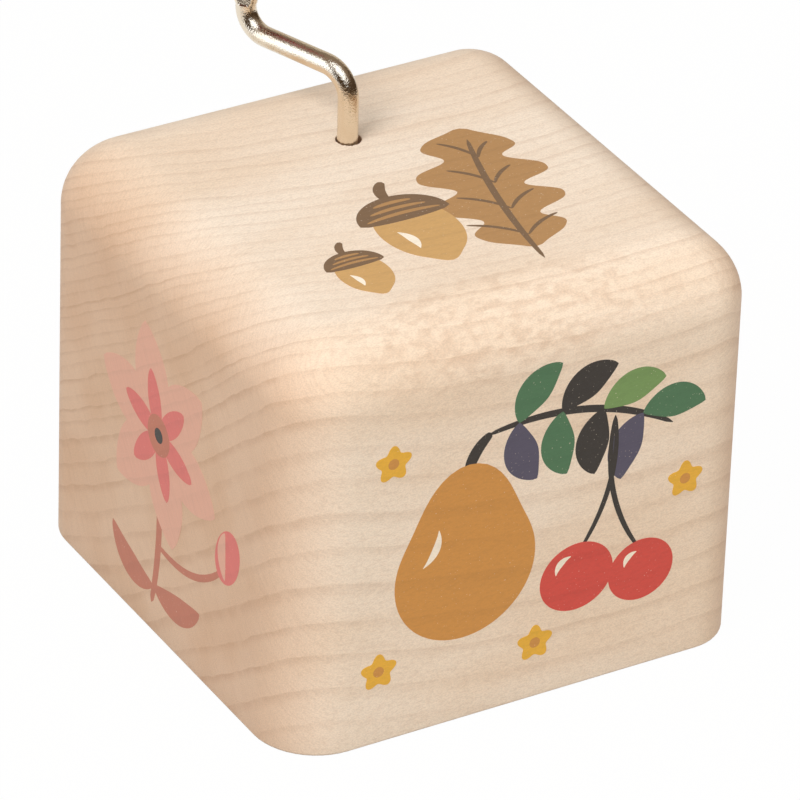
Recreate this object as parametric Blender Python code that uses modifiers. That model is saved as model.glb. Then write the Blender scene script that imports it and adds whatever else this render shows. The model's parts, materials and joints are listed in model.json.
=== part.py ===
"""Wooden sound cube: a hollow maple block with a hand-cranked comb movement inside.

Frame: metres, +Z up, origin under the middle of the block on the surface it stands on.
The front of the block faces -Y, and the crank comes out of the top towards the back.
"""

import math

import bmesh
import bpy
from mathutils import Matrix, Vector

MM = 0.001

# Fits and cutting
WELD = 0.00001
OVERRUN = 1.0 * MM
RUNNING_GAP = 0.15 * MM
SEAT_GAP = 0.1 * MM
THREAD_GAP = 0.1 * MM

# Maple block
BLOCK_WIDTH = 70.0 * MM
BLOCK_DEPTH = 70.0 * MM
BLOCK_HEIGHT = 61.0 * MM
SIDE_EDGE_RADIUS = 8.0 * MM
TOP_EDGE_RADIUS = 9.6 * MM
BOTTOM_EDGE_RADIUS = 0.5 * MM
EDGE_SEGMENTS = 8
SIDE_WALL = 10.0 * MM
CEILING = 9.0 * MM
CAVITY_CORNER_RADIUS = 3.0 * MM
CORNER_SEGMENTS = 5
CRANK_HOLE_RADIUS = 1.8 * MM
HOLE_SIDES = 24

# Base plate and its screws
PLATE_THICKNESS = 3.0 * MM
PLATE_RECESS = 0.5 * MM
LEDGE_WIDTH = 6.0 * MM
PLATE_FIT = 0.2 * MM
BASE_SCREW_LENGTH = 11.0 * MM
BASE_SCREW_INSET = 4.8 * MM
WOOD_SCREW_RADIUS = 1.1 * MM
WOOD_SCREW_HEAD_RADIUS = 2.2 * MM
WOOD_SCREW_HEAD_HEIGHT = 1.5 * MM
WOOD_SCREW_POINT = 2.0 * MM
WOOD_SCREW_PITCH = 1.1 * MM
WOOD_SCREW_THREAD_DEPTH = 0.3 * MM
SCREW_SIDES = 12
DRIVE_WIDTH = 0.6 * MM
DRIVE_DEPTH = 0.6 * MM
HOLE_OVERSIZE = 0.2 * MM

# Upright board that carries the movement
BOARD_THICKNESS = 3.6 * MM
BOARD_WALL_GAP = 0.3 * MM
GROOVE_DEPTH = 1.5 * MM

# Where the movement sits: the share of the cavity's spare length behind it, and of the spare height above it
BACK_ROOM_SHARE = 0.29
HEADROOM_SHARE = 0.2

# Worm and worm wheel
GEAR_MODULE = 0.9 * MM
WHEEL_TEETH = 14
WHEEL_WIDTH = 3.2 * MM
TOOTH_ADDENDUM = 0.75 * MM
TOOTH_DEDENDUM = 0.95 * MM
TOOTH_WIDTH = 1.1 * MM
FLANK_ANGLE = math.radians(20)
WORM_PITCH_RADIUS = 3.2 * MM
WORM_TURNS = 3
WORM_STEPS = 20
WORM_SHOULDER_RADIUS = 2.25 * MM
WORM_TOP_JOURNAL_RADIUS = 1.9 * MM
WORM_FOOT_JOURNAL_RADIUS = 1.2 * MM
WORM_FOOT_PROUD = 0.3 * MM
WORM_HEAD_PROUD = 1.6 * MM

# Pinned cylinder
CYLINDER_RADIUS = 6.5 * MM
CYLINDER_WALL = 0.6 * MM
PIN_HEIGHT = 0.8 * MM
PIN_RADIUS = 0.2 * MM
PIN_SIDES = 4
PIN_BEATS = 24
CYLINDER_SIDES = 2 * PIN_BEATS
CYLINDER_OVERHANG = 0.7 * MM
CYLINDER_AXIS_HEIGHT = 9.0 * MM
ARBOR_RADIUS = 1.0 * MM
ARBOR_SIDES = 16
ARBOR_HEAD_RADIUS = 1.8 * MM
ARBOR_HEAD_LENGTH = 0.8 * MM
ARBOR_TAIL = 1.2 * MM
CAP_THICKNESS = 1.2 * MM
SPIGOT_LENGTH = 1.6 * MM
HUB_RADIUS = 4.0 * MM
WORM_SIDE_GAP = 0.3 * MM
CLIP_RADIUS = 2.2 * MM
CLIP_THICKNESS = 0.6 * MM
WHEEL_SIDE_GAP = 0.7 * MM

# Comb
TINE_COUNT = 18
TINE_PITCH = 1.0 * MM
TINE_WIDTH = 0.76 * MM
TINE_THICKNESS = 0.9 * MM
TINE_TIP_GAP = 0.15 * MM
COMB_LIFT = 0.4 * MM
BASS_TINE_LENGTH = 13.2 * MM
TREBLE_TINE_LENGTH = 8.4 * MM
HEEL_LENGTH = 5.2 * MM
HEEL_THICKNESS = 1.7 * MM
COMB_MARGIN = 0.3 * MM

# Die-cast frame of the movement
FRAME_THICKNESS = 2.5 * MM
FRAME_ABOVE_AXIS = 10.9 * MM
FRAME_BELOW_COMB = 0.9 * MM
FRAME_FRONT_MARGIN = 3.0 * MM
FRAME_CORNER_RADIUS = 2.0 * MM
FRONT_CHEEK_THICKNESS = 1.8 * MM
BACK_CHEEK_THICKNESS = 4.0 * MM
CHEEK_EYE_RADIUS = 3.6 * MM
CHEEK_FOOT_HALF = 6.0 * MM
BACK_CHEEK_HALF = 5.6 * MM
SHELF_THICKNESS = 2.5 * MM
BEARING_PAD_HALF = 4.0 * MM
SEAT_CLEARANCE = 0.6 * MM
BRIDGE_THICKNESS = 1.5 * MM
EYE_SEGMENTS = 10

# Machine screws of the movement
COMB_SCREW_RADIUS = 1.2 * MM
COMB_SCREW_LENGTH = 5.6 * MM
COMB_SCREW_HEAD_RADIUS = 2.2 * MM
COMB_SCREW_HEAD_HEIGHT = 1.4 * MM
COMB_SCREW_SPAN = 11.0 * MM
BRIDGE_SCREW_RADIUS = 0.9 * MM
BRIDGE_SCREW_LENGTH = 4.6 * MM
BRIDGE_SCREW_HEAD_RADIUS = 1.7 * MM
BRIDGE_SCREW_HEAD_HEIGHT = 1.0 * MM
BRIDGE_SCREW_SPAN = 7.6 * MM
FRAME_SCREW_RADIUS = 1.0 * MM
FRAME_SCREW_LENGTH = 5.6 * MM
FRAME_SCREW_HEAD_RADIUS = 2.1 * MM
FRAME_SCREW_HEAD_HEIGHT = 1.2 * MM
FRAME_SCREW_EDGE = 2.6 * MM
TAP_DEPTH_SPARE = 0.5 * MM

# Crank wire
WIRE_RADIUS = 1.4 * MM
WIRE_SIDES_RESOLUTION = 5
WIRE_STUB_RADIUS = 1.0 * MM
WIRE_STUB_LENGTH = 5.0 * MM
CRANK_RISE = 10.0 * MM
CRANK_ARM = 18.2 * MM
CRANK_REST_ANGLE = math.radians(20.7)
BEND_RADIUS = 3.7 * MM
BEND_STEPS = 8
EAR_LENGTH = 2.6 * MM
EAR_SPREAD_SHARE = 1.16
EAR_PINCH_SHARE = 0.8
RIVET_RADIUS = 1.8 * MM
RIVET_HEIGHT = 0.9 * MM
RIVET_SINK = 0.5 * MM

# Knob
KNOB_HEIGHT = 14.0 * MM
KNOB_RADIUS = 4.0 * MM
KNOB_FOOT_RADIUS = 3.2 * MM
KNOB_SIDES = 28
KNOB_RUNNING_GAP = 0.25 * MM
KNOB_COUNTERBORE_RADIUS = 2.5 * MM
WASHER_RADIUS = 2.2 * MM
WASHER_THICKNESS = 0.5 * MM
# Height and radius of the knob's side, as shares of its height and of the step from foot to belly
KNOB_SIDE_SHARES = (
    (0.97, 0.42), (0.90, 0.76), (0.80, 0.95), (0.68, 1.0), (0.56, 0.93), (0.44, 0.72),
    (0.32, 0.42), (0.20, 0.14), (0.10, 0.0), (0.03, -0.04),
)

# Places worked out from the sizes above
CAVITY_HALF_X = BLOCK_WIDTH / 2 - SIDE_WALL
CAVITY_HALF_Y = BLOCK_DEPTH / 2 - SIDE_WALL
CAVITY_TOP = BLOCK_HEIGHT - CEILING
PLATE_TOP = PLATE_RECESS + PLATE_THICKNESS
LEDGE_Z = PLATE_TOP + SEAT_GAP
PLATE_HALF_X = CAVITY_HALF_X + LEDGE_WIDTH
PLATE_HALF_Y = CAVITY_HALF_Y + LEDGE_WIDTH
BASE_SCREW_X = PLATE_HALF_X - BASE_SCREW_INSET
BASE_SCREW_Y = PLATE_HALF_Y - BASE_SCREW_INSET
WHEEL_PITCH_RADIUS = GEAR_MODULE * WHEEL_TEETH / 2
WHEEL_TIP_RADIUS = WHEEL_PITCH_RADIUS + TOOTH_ADDENDUM
CENTRE_DISTANCE = WHEEL_PITCH_RADIUS + WORM_PITCH_RADIUS
WORM_LEAD = math.pi * GEAR_MODULE
BOARD_OUTER_X = -CAVITY_HALF_X + BOARD_WALL_GAP
BOARD_INNER_X = BOARD_OUTER_X + BOARD_THICKNESS
FRAME_OUTER_X = BOARD_INNER_X + SEAT_GAP
FRAME_INNER_X = FRAME_OUTER_X + FRAME_THICKNESS
CYLINDER_X = FRAME_INNER_X + CYLINDER_AXIS_HEIGHT
PIN_TIP_RADIUS = CYLINDER_RADIUS + PIN_HEIGHT
COMB_SPAN = TINE_COUNT * TINE_PITCH
COMB_HEIGHT = BASS_TINE_LENGTH + HEEL_LENGTH
MOVEMENT_HEIGHT = FRAME_ABOVE_AXIS + PIN_TIP_RADIUS + TINE_TIP_GAP + COMB_HEIGHT + FRAME_BELOW_COMB
CYLINDER_Z = CAVITY_TOP - HEADROOM_SHARE * (CAVITY_TOP - PLATE_TOP - MOVEMENT_HEIGHT) - FRAME_ABOVE_AXIS
CRANK_TO_BACK = WHEEL_WIDTH / 2 + WHEEL_SIDE_GAP + BACK_CHEEK_THICKNESS + ARBOR_TAIL
WORM_TO_TUBE = WORM_PITCH_RADIUS + TOOTH_ADDENDUM + WORM_SIDE_GAP
TUBE_LENGTH = COMB_SPAN + 2 * CYLINDER_OVERHANG
CRANK_TO_FRONT = WORM_TO_TUBE + TUBE_LENGTH + WHEEL_SIDE_GAP + FRONT_CHEEK_THICKNESS + FRAME_FRONT_MARGIN
SPARE_LENGTH = 2 * CAVITY_HALF_Y - CRANK_TO_BACK - CRANK_TO_FRONT
CRANK_X = CYLINDER_X + CENTRE_DISTANCE
CRANK_Y = CAVITY_HALF_Y - CRANK_TO_BACK - BACK_ROOM_SHARE * SPARE_LENGTH
WHEEL_FRONT_Y = CRANK_Y - WHEEL_WIDTH / 2
WHEEL_BACK_Y = CRANK_Y + WHEEL_WIDTH / 2
TUBE_BACK_Y = CRANK_Y - WORM_TO_TUBE
TUBE_FRONT_Y = TUBE_BACK_Y - TUBE_LENGTH
COMB_HALF = COMB_SPAN / 2 + COMB_MARGIN
COMB_Y = (TUBE_FRONT_Y + TUBE_BACK_Y) / 2
FRONT_CHEEK_BACK_Y = TUBE_FRONT_Y - WHEEL_SIDE_GAP
FRONT_CHEEK_FRONT_Y = FRONT_CHEEK_BACK_Y - FRONT_CHEEK_THICKNESS
BACK_CHEEK_FRONT_Y = WHEEL_BACK_Y + WHEEL_SIDE_GAP
BACK_CHEEK_BACK_Y = BACK_CHEEK_FRONT_Y + BACK_CHEEK_THICKNESS
SHELF_TOP = CYLINDER_Z - PIN_TIP_RADIUS - SEAT_CLEARANCE
SHELF_FOOT = SHELF_TOP - SHELF_THICKNESS
BRIDGE_FOOT = CYLINDER_Z + BACK_CHEEK_HALF + SEAT_GAP
BRIDGE_TOP = BRIDGE_FOOT + BRIDGE_THICKNESS
WORM_TOP = BRIDGE_TOP + WORM_HEAD_PROUD
WORM_FOOT = SHELF_FOOT - WORM_FOOT_PROUD
COMB_TIP_Z = CYLINDER_Z - PIN_TIP_RADIUS - TINE_TIP_GAP
COMB_FOOT_Z = COMB_TIP_Z - COMB_HEIGHT
COMB_X = CYLINDER_X + COMB_LIFT
HEEL_OUTER_X = COMB_X - HEEL_THICKNESS / 2
HEEL_INNER_X = COMB_X + HEEL_THICKNESS / 2
SEAT_X = HEEL_OUTER_X - SEAT_GAP
COMB_SCREW_Z = COMB_FOOT_Z + HEEL_LENGTH / 2
FRAME_TOP_Z = CYLINDER_Z + FRAME_ABOVE_AXIS
FRAME_FOOT_Z = COMB_FOOT_Z - FRAME_BELOW_COMB
FRAME_FRONT_Y = FRONT_CHEEK_FRONT_Y - FRAME_FRONT_MARGIN
WALL_FLAT_HALF_Y = CAVITY_HALF_Y - CAVITY_CORNER_RADIUS
BOARD_FRONT_Y = (FRAME_FRONT_Y - WALL_FLAT_HALF_Y) / 2
BOARD_BACK_Y = (BACK_CHEEK_BACK_Y + WALL_FLAT_HALF_Y) / 2
BOARD_TOP_Z = (FRAME_TOP_Z + CAVITY_TOP) / 2
FRAME_SCREW_PLACES = (
    (FRAME_FRONT_Y + FRAME_SCREW_EDGE, FRAME_FOOT_Z + FRAME_SCREW_EDGE),
    (BACK_CHEEK_BACK_Y - FRAME_SCREW_EDGE, FRAME_FOOT_Z + FRAME_SCREW_EDGE),
    (COMB_Y, FRAME_TOP_Z - FRAME_SCREW_EDGE),
)
BRIDGE_SCREW_Y = BACK_CHEEK_FRONT_Y + BACK_CHEEK_THICKNESS / 2
CHEEK_TOP_X = CRANK_X - WORM_PITCH_RADIUS - TOOTH_ADDENDUM - BRIDGE_THICKNESS
BRIDGE_SCREW_X = CHEEK_TOP_X - BRIDGE_SCREW_HEAD_RADIUS
ARM_Z = BLOCK_HEIGHT + CRANK_RISE
WIRE_SHOULDER_Z = WORM_TOP + SEAT_GAP
GRIP_X = CRANK_X - CRANK_ARM * math.sin(CRANK_REST_ANGLE)
GRIP_Y = CRANK_Y + CRANK_ARM * math.cos(CRANK_REST_ANGLE)
EAR_FOOT_Z = ARM_Z + BEND_RADIUS
KNOB_FOOT_Z = EAR_FOOT_Z + EAR_LENGTH + KNOB_RUNNING_GAP
KNOB_TOP_Z = KNOB_FOOT_Z + KNOB_HEIGHT
RIVET_TOP_Z = KNOB_TOP_Z - RIVET_SINK
RIVET_FOOT_Z = RIVET_TOP_Z - RIVET_HEIGHT
WASHER_TOP_Z = RIVET_FOOT_Z - SEAT_GAP
WASHER_FOOT_Z = WASHER_TOP_Z - WASHER_THICKNESS
COUNTERBORE_FOOT_Z = WASHER_FOOT_Z - RUNNING_GAP

# How an outline drawn in its own plane is turned to stand across X, Y or Z
ACROSS_X = Matrix(((0, 0, 1), (1, 0, 0), (0, 1, 0))).to_4x4()
ACROSS_Y = Matrix(((1, 0, 0), (0, 0, -1), (0, 1, 0))).to_4x4()
ACROSS_Z = Matrix.Identity(4)


def clear_scene():
    for old in list(bpy.data.objects):
        bpy.data.objects.remove(old, do_unlink=True)


def new_collection(name):
    made = bpy.data.collections.new(name)
    bpy.context.scene.collection.children.link(made)
    return made


def new_material(name, colour, roughness, metallic=0.0):
    made = bpy.data.materials.new(name)
    made.use_nodes = True
    surface = made.node_tree.nodes["Principled BSDF"]
    surface.inputs["Base Color"].default_value = (*colour, 1.0)
    surface.inputs["Roughness"].default_value = roughness
    surface.inputs["Metallic"].default_value = metallic
    return made


def new_object(name, data, place=Matrix.Identity(4)):
    made = bpy.data.objects.new(name, data)
    made.matrix_world = place
    PIECES.objects.link(made)
    return made


def mesh_object(name, shape, place=Matrix.Identity(4)):
    data = bpy.data.meshes.new(name)
    shape.to_mesh(data)
    shape.free()
    return new_object(name, data, place)


def evaluated_mesh(source):
    """The object's mesh after its modifiers, welded where a curve leaves its caps loose."""
    bpy.context.view_layer.update()
    seen = source.evaluated_get(bpy.context.evaluated_depsgraph_get())
    data = bpy.data.meshes.new_from_object(seen)
    welded = bmesh.new()
    welded.from_mesh(data)
    bmesh.ops.remove_doubles(welded, verts=welded.verts, dist=WELD)
    bmesh.ops.recalc_face_normals(welded, faces=welded.faces)
    welded.to_mesh(data)
    welded.free()
    return data


def as_mesh(source):
    """Replace a curve, or an object with modifiers, by a plain mesh object in the same place."""
    name = source.name
    place = source.matrix_world.copy()
    data = evaluated_mesh(source)
    bpy.data.objects.remove(source, do_unlink=True)
    data.name = name
    return new_object(name, data, place)


def box(name, low, high):
    shape = bmesh.new()
    bmesh.ops.create_cube(shape, size=1)
    low, high = Vector(low), Vector(high)
    bmesh.ops.scale(shape, vec=high - low, verts=shape.verts)
    return mesh_object(name, shape, Matrix.Translation((low + high) / 2))


def rounded_box(name, low, high, radius, segments):
    """A box whose four upright edges are rounded."""
    made = box(name, low, high)
    shape = bmesh.new()
    shape.from_mesh(made.data)
    upright = [e for e in shape.edges if abs(e.verts[0].co.z - e.verts[1].co.z) > WELD]
    bmesh.ops.bevel(shape, geom=upright, offset=radius, segments=segments, profile=0.5, affect="EDGES")
    shape.to_mesh(made.data)
    shape.free()
    return made


def rod(name, radius, foot, top, sides, place=Matrix.Identity(4)):
    """A cylinder from foot to top along Z of its own place."""
    shape = bmesh.new()
    bmesh.ops.create_cone(
        shape, cap_ends=True, segments=sides, radius1=radius, radius2=radius, depth=top - foot,
    )
    bmesh.ops.translate(shape, vec=(0, 0, (top + foot) / 2), verts=shape.verts)
    return mesh_object(name, shape, place)


def turned(name, profile, sides, place=Matrix.Identity(4)):
    """A profile of (radius, height) points, listed from the top down, turned about Z."""
    shape = bmesh.new()
    points = [shape.verts.new((radius, 0, height)) for radius, height in profile]
    for first, second in zip(points, points[1:]):
        shape.edges.new((first, second))
    made = mesh_object(name, shape, place)
    screw = made.modifiers.new("Turn", "SCREW")
    screw.axis = "Z"
    screw.steps = sides
    screw.render_steps = sides
    screw.use_merge_vertices = True
    screw.merge_threshold = WELD
    return as_mesh(made)


def ring(name, outer, inner, foot, top, sides, place=Matrix.Identity(4)):
    """A tube or washer: a closed profile turned about Z."""
    profile = ((inner, top), (outer, top), (outer, foot), (inner, foot), (inner, top))
    return turned(name, profile, sides, place)


def slab(name, outline, low, high, turn):
    """A flat outline given its thickness, from low to high along the axis that it stands across."""
    curve = bpy.data.curves.new(name, "CURVE")
    curve.dimensions = "2D"
    curve.fill_mode = "BOTH"
    curve.extrude = (high - low) / 2
    spline = curve.splines.new("POLY")
    spline.points.add(len(outline) - 1)
    for point, (across, along) in zip(spline.points, outline):
        point.co = (across, along, 0, 1)
    spline.use_cyclic_u = True
    facing = Vector([abs(part) for part in turn.to_3x3().col[2]])
    return as_mesh(new_object(name, curve, Matrix.Translation(facing * (low + high) / 2) @ turn))


def arc(centre, radius, start, stop, segments):
    """Points along a round stretch, both ends included."""
    angles = [start + (stop - start) * i / segments for i in range(segments + 1)]
    return [(centre[0] + radius * math.cos(a), centre[1] + radius * math.sin(a)) for a in angles]


def rounded_outline(low, high, radius, segments):
    """The four corner arcs of a rounded rectangle, anticlockwise."""
    quarter = math.pi / 2
    corners = (
        ((high[0] - radius, high[1] - radius), 0),
        ((low[0] + radius, high[1] - radius), quarter),
        ((low[0] + radius, low[1] + radius), 2 * quarter),
        ((high[0] - radius, low[1] + radius), 3 * quarter),
    )
    return [p for centre, a in corners for p in arc(centre, radius, a, a + quarter, segments)]


def boolean(target, tool, operation):
    change = target.modifiers.new(tool.name, "BOOLEAN")
    change.operation = operation
    change.object = tool
    change.solver = "EXACT"
    PIECES.objects.unlink(tool)
    TOOLS.objects.link(tool)
    tool.hide_render = True
    tool.display_type = "WIRE"


def cut(target, *tools):
    for tool in tools:
        boolean(target, tool, "DIFFERENCE")


def join(target, *tools):
    for tool in tools:
        boolean(target, tool, "UNION")


def paint(piece, material):
    piece.data.materials.clear()
    piece.data.materials.append(material)
    piece.data.shade_smooth()
    piece.data.set_sharp_from_angle(angle=math.radians(35))


def axis_empty(name, place, parent=None):
    made = bpy.data.objects.new(name, None)
    made.location = place
    PIECES.objects.link(made)
    if parent is not None:
        hold(made, parent)
    return made


def hold(child, parent):
    bpy.context.view_layer.update()
    child.parent = parent
    child.matrix_parent_inverse = parent.matrix_world.inverted()


def place_at(x, y, z, turn=Matrix.Identity(4)):
    return Matrix.Translation((x, y, z)) @ turn


def screw_mesh(name, profile, slots):
    """A turned screw, head up and head top at zero, with its driving slots cut in."""
    blank = turned(name, profile, SCREW_SIDES)
    reach = max(radius for radius, height in profile) + OVERRUN
    for index in range(slots):
        half = DRIVE_WIDTH / 2
        span = reach if slots == 1 else reach / 2
        slot = box(f"{name}_slot_{index}", (-span, -half, -DRIVE_DEPTH), (span, half, OVERRUN))
        slot.rotation_euler.z = index * math.pi / 2
        cut(blank, slot)
    data = evaluated_mesh(blank)
    bpy.data.objects.remove(blank, do_unlink=True)
    return data


def threaded_side(radius, depth, pitch, top, foot):
    """Points down a screw's side: a ridge for each pitch of its thread."""
    count = max(1, int((top - foot) / pitch))
    step = (top - foot) / count
    points = []
    for index in range(count):
        ridge = top - index * step
        points.append((radius - depth, ridge))
        points.append((radius, ridge - step / 2))
    points.append((radius - depth, foot))
    return points


def countersunk_profile():
    neck = -WOOD_SCREW_HEAD_HEIGHT
    shank = -BASE_SCREW_LENGTH + WOOD_SCREW_POINT
    core = WOOD_SCREW_RADIUS - WOOD_SCREW_THREAD_DEPTH
    rim = WOOD_SCREW_HEAD_HEIGHT - (WOOD_SCREW_HEAD_RADIUS - core)
    side = threaded_side(WOOD_SCREW_RADIUS, WOOD_SCREW_THREAD_DEPTH, WOOD_SCREW_PITCH, neck, shank)
    head = [(0, 0), (WOOD_SCREW_HEAD_RADIUS, 0), (WOOD_SCREW_HEAD_RADIUS, -rim)]
    return [*head, *side, (0, -BASE_SCREW_LENGTH)]


def pan_profile(radius, length, head_radius, head_height):
    """A pan-headed screw: the length is measured under its head."""
    crown = head_height / 3
    neck = -head_height
    return [
        (0, 0), (head_radius - crown, 0), (head_radius, -crown), (head_radius, neck),
        (radius, neck), (radius, neck - length), (0, neck - length),
    ]


def make_block():
    low = (-BLOCK_WIDTH / 2, -BLOCK_DEPTH / 2, 0)
    high = (BLOCK_WIDTH / 2, BLOCK_DEPTH / 2, BLOCK_HEIGHT)
    block = box("block_shell", low, high)
    widest = max(SIDE_EDGE_RADIUS, TOP_EDGE_RADIUS)
    shape = bmesh.new()
    shape.from_mesh(block.data)
    weight = shape.edges.layers.float.new("bevel_weight_edge")
    for edge in shape.edges:
        heights = [v.co.z > 0 for v in edge.verts]
        if all(heights):
            edge[weight] = TOP_EDGE_RADIUS / widest
        elif any(heights):
            edge[weight] = SIDE_EDGE_RADIUS / widest
    shape.to_mesh(block.data)
    shape.free()
    rounding = block.modifiers.new("Rounded edges", "BEVEL")
    rounding.limit_method = "WEIGHT"
    rounding.width = widest
    rounding.segments = EDGE_SEGMENTS
    foot = block.modifiers.new("Eased foot", "BEVEL")
    foot.limit_method = "ANGLE"
    foot.angle_limit = math.radians(60)
    foot.width = BOTTOM_EDGE_RADIUS
    foot.segments = 1
    block = as_mesh(block)
    cavity = rounded_box(
        "cavity", (-CAVITY_HALF_X, -CAVITY_HALF_Y, -OVERRUN), (CAVITY_HALF_X, CAVITY_HALF_Y, CAVITY_TOP),
        CAVITY_CORNER_RADIUS, CORNER_SEGMENTS,
    )
    rebate = rounded_box(
        "rebate", (-PLATE_HALF_X, -PLATE_HALF_Y, -OVERRUN), (PLATE_HALF_X, PLATE_HALF_Y, LEDGE_Z),
        CAVITY_CORNER_RADIUS + LEDGE_WIDTH, CORNER_SEGMENTS,
    )
    hole = rod(
        "crank_hole", CRANK_HOLE_RADIUS, CAVITY_TOP - OVERRUN, BLOCK_HEIGHT + OVERRUN, HOLE_SIDES,
        place_at(CRANK_X, CRANK_Y, 0),
    )
    cut(block, cavity, rebate, hole)
    pilot_top = PLATE_RECESS + BASE_SCREW_LENGTH + TAP_DEPTH_SPARE
    for index, (x, y) in enumerate(base_screw_places()):
        pilot = rod(
            f"pilot_{index}", WOOD_SCREW_RADIUS + THREAD_GAP, LEDGE_Z - OVERRUN, pilot_top, SCREW_SIDES,
            place_at(x, y, 0),
        )
        cut(block, pilot)
    paint(block, MAPLE)


def base_screw_places():
    return [(side * BASE_SCREW_X, end * BASE_SCREW_Y) for side in (-1, 1) for end in (-1, 1)]


def make_base():
    low = (-PLATE_HALF_X + PLATE_FIT, -PLATE_HALF_Y + PLATE_FIT, PLATE_RECESS)
    high = (PLATE_HALF_X - PLATE_FIT, PLATE_HALF_Y - PLATE_FIT, PLATE_TOP)
    radius = CAVITY_CORNER_RADIUS + LEDGE_WIDTH - PLATE_FIT
    plate = rounded_box("base_plate", low, high, radius, CORNER_SEGMENTS)
    groove = box(
        "groove", (BOARD_OUTER_X - SEAT_GAP, BOARD_FRONT_Y - SEAT_GAP, PLATE_TOP - GROOVE_DEPTH),
        (BOARD_INNER_X + SEAT_GAP, BOARD_BACK_Y + SEAT_GAP, PLATE_TOP + OVERRUN),
    )
    cut(plate, groove)
    core = WOOD_SCREW_RADIUS + HOLE_OVERSIZE
    mouth = WOOD_SCREW_HEAD_RADIUS + HOLE_OVERSIZE
    for index, (x, y) in enumerate(base_screw_places()):
        place = place_at(x, y, PLATE_RECESS)
        clearance = rod(f"clearance_{index}", core, -OVERRUN, PLATE_THICKNESS + OVERRUN, SCREW_SIDES, place)
        sink_top = WOOD_SCREW_HEAD_HEIGHT + HOLE_OVERSIZE
        profile = (
            (0, sink_top), (core, sink_top), (mouth, sink_top - mouth + core),
            (mouth, -OVERRUN), (0, -OVERRUN),
        )
        sink = turned(f"countersink_{index}", profile, SCREW_SIDES, place)
        cut(plate, clearance, sink)
    paint(plate, PLYWOOD)
    data = screw_mesh("base_screw", countersunk_profile(), 2)
    for index, (x, y) in enumerate(base_screw_places()):
        upside = Matrix.Rotation(math.pi, 4, "X")
        screw = new_object(f"base_screw_{index + 1}", data, place_at(x, y, PLATE_RECESS, upside))
        paint(screw, ZINC_SCREW)


def make_board():
    board = box(
        "mounting_board", (BOARD_OUTER_X, BOARD_FRONT_Y, PLATE_TOP - GROOVE_DEPTH + SEAT_GAP),
        (BOARD_INNER_X, BOARD_BACK_Y, BOARD_TOP_Z),
    )
    depth = frame_screw_reach() + SEAT_GAP
    for index, (y, z) in enumerate(FRAME_SCREW_PLACES):
        pilot = rod(
            f"board_pilot_{index}", FRAME_SCREW_RADIUS + THREAD_GAP, -depth, OVERRUN, SCREW_SIDES,
            place_at(BOARD_INNER_X, y, z, Matrix.Rotation(math.pi / 2, 4, "Y")),
        )
        cut(board, pilot)
    paint(board, PLYWOOD)


def frame_screw_reach():
    """How far a frame screw goes into the board."""
    return FRAME_SCREW_LENGTH - FRAME_THICKNESS - SEAT_GAP


def bearing_outline(root_x):
    """The L shape shared by the lower bearing shelf and the bridge, as seen from above."""
    pad = BEARING_PAD_HALF
    return [
        (root_x, BACK_CHEEK_FRONT_Y), (CRANK_X - pad, BACK_CHEEK_FRONT_Y),
        (CRANK_X - pad, CRANK_Y - pad), (CRANK_X + pad, CRANK_Y - pad),
        (CRANK_X + pad, BACK_CHEEK_BACK_Y), (root_x, BACK_CHEEK_BACK_Y),
    ]


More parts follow.
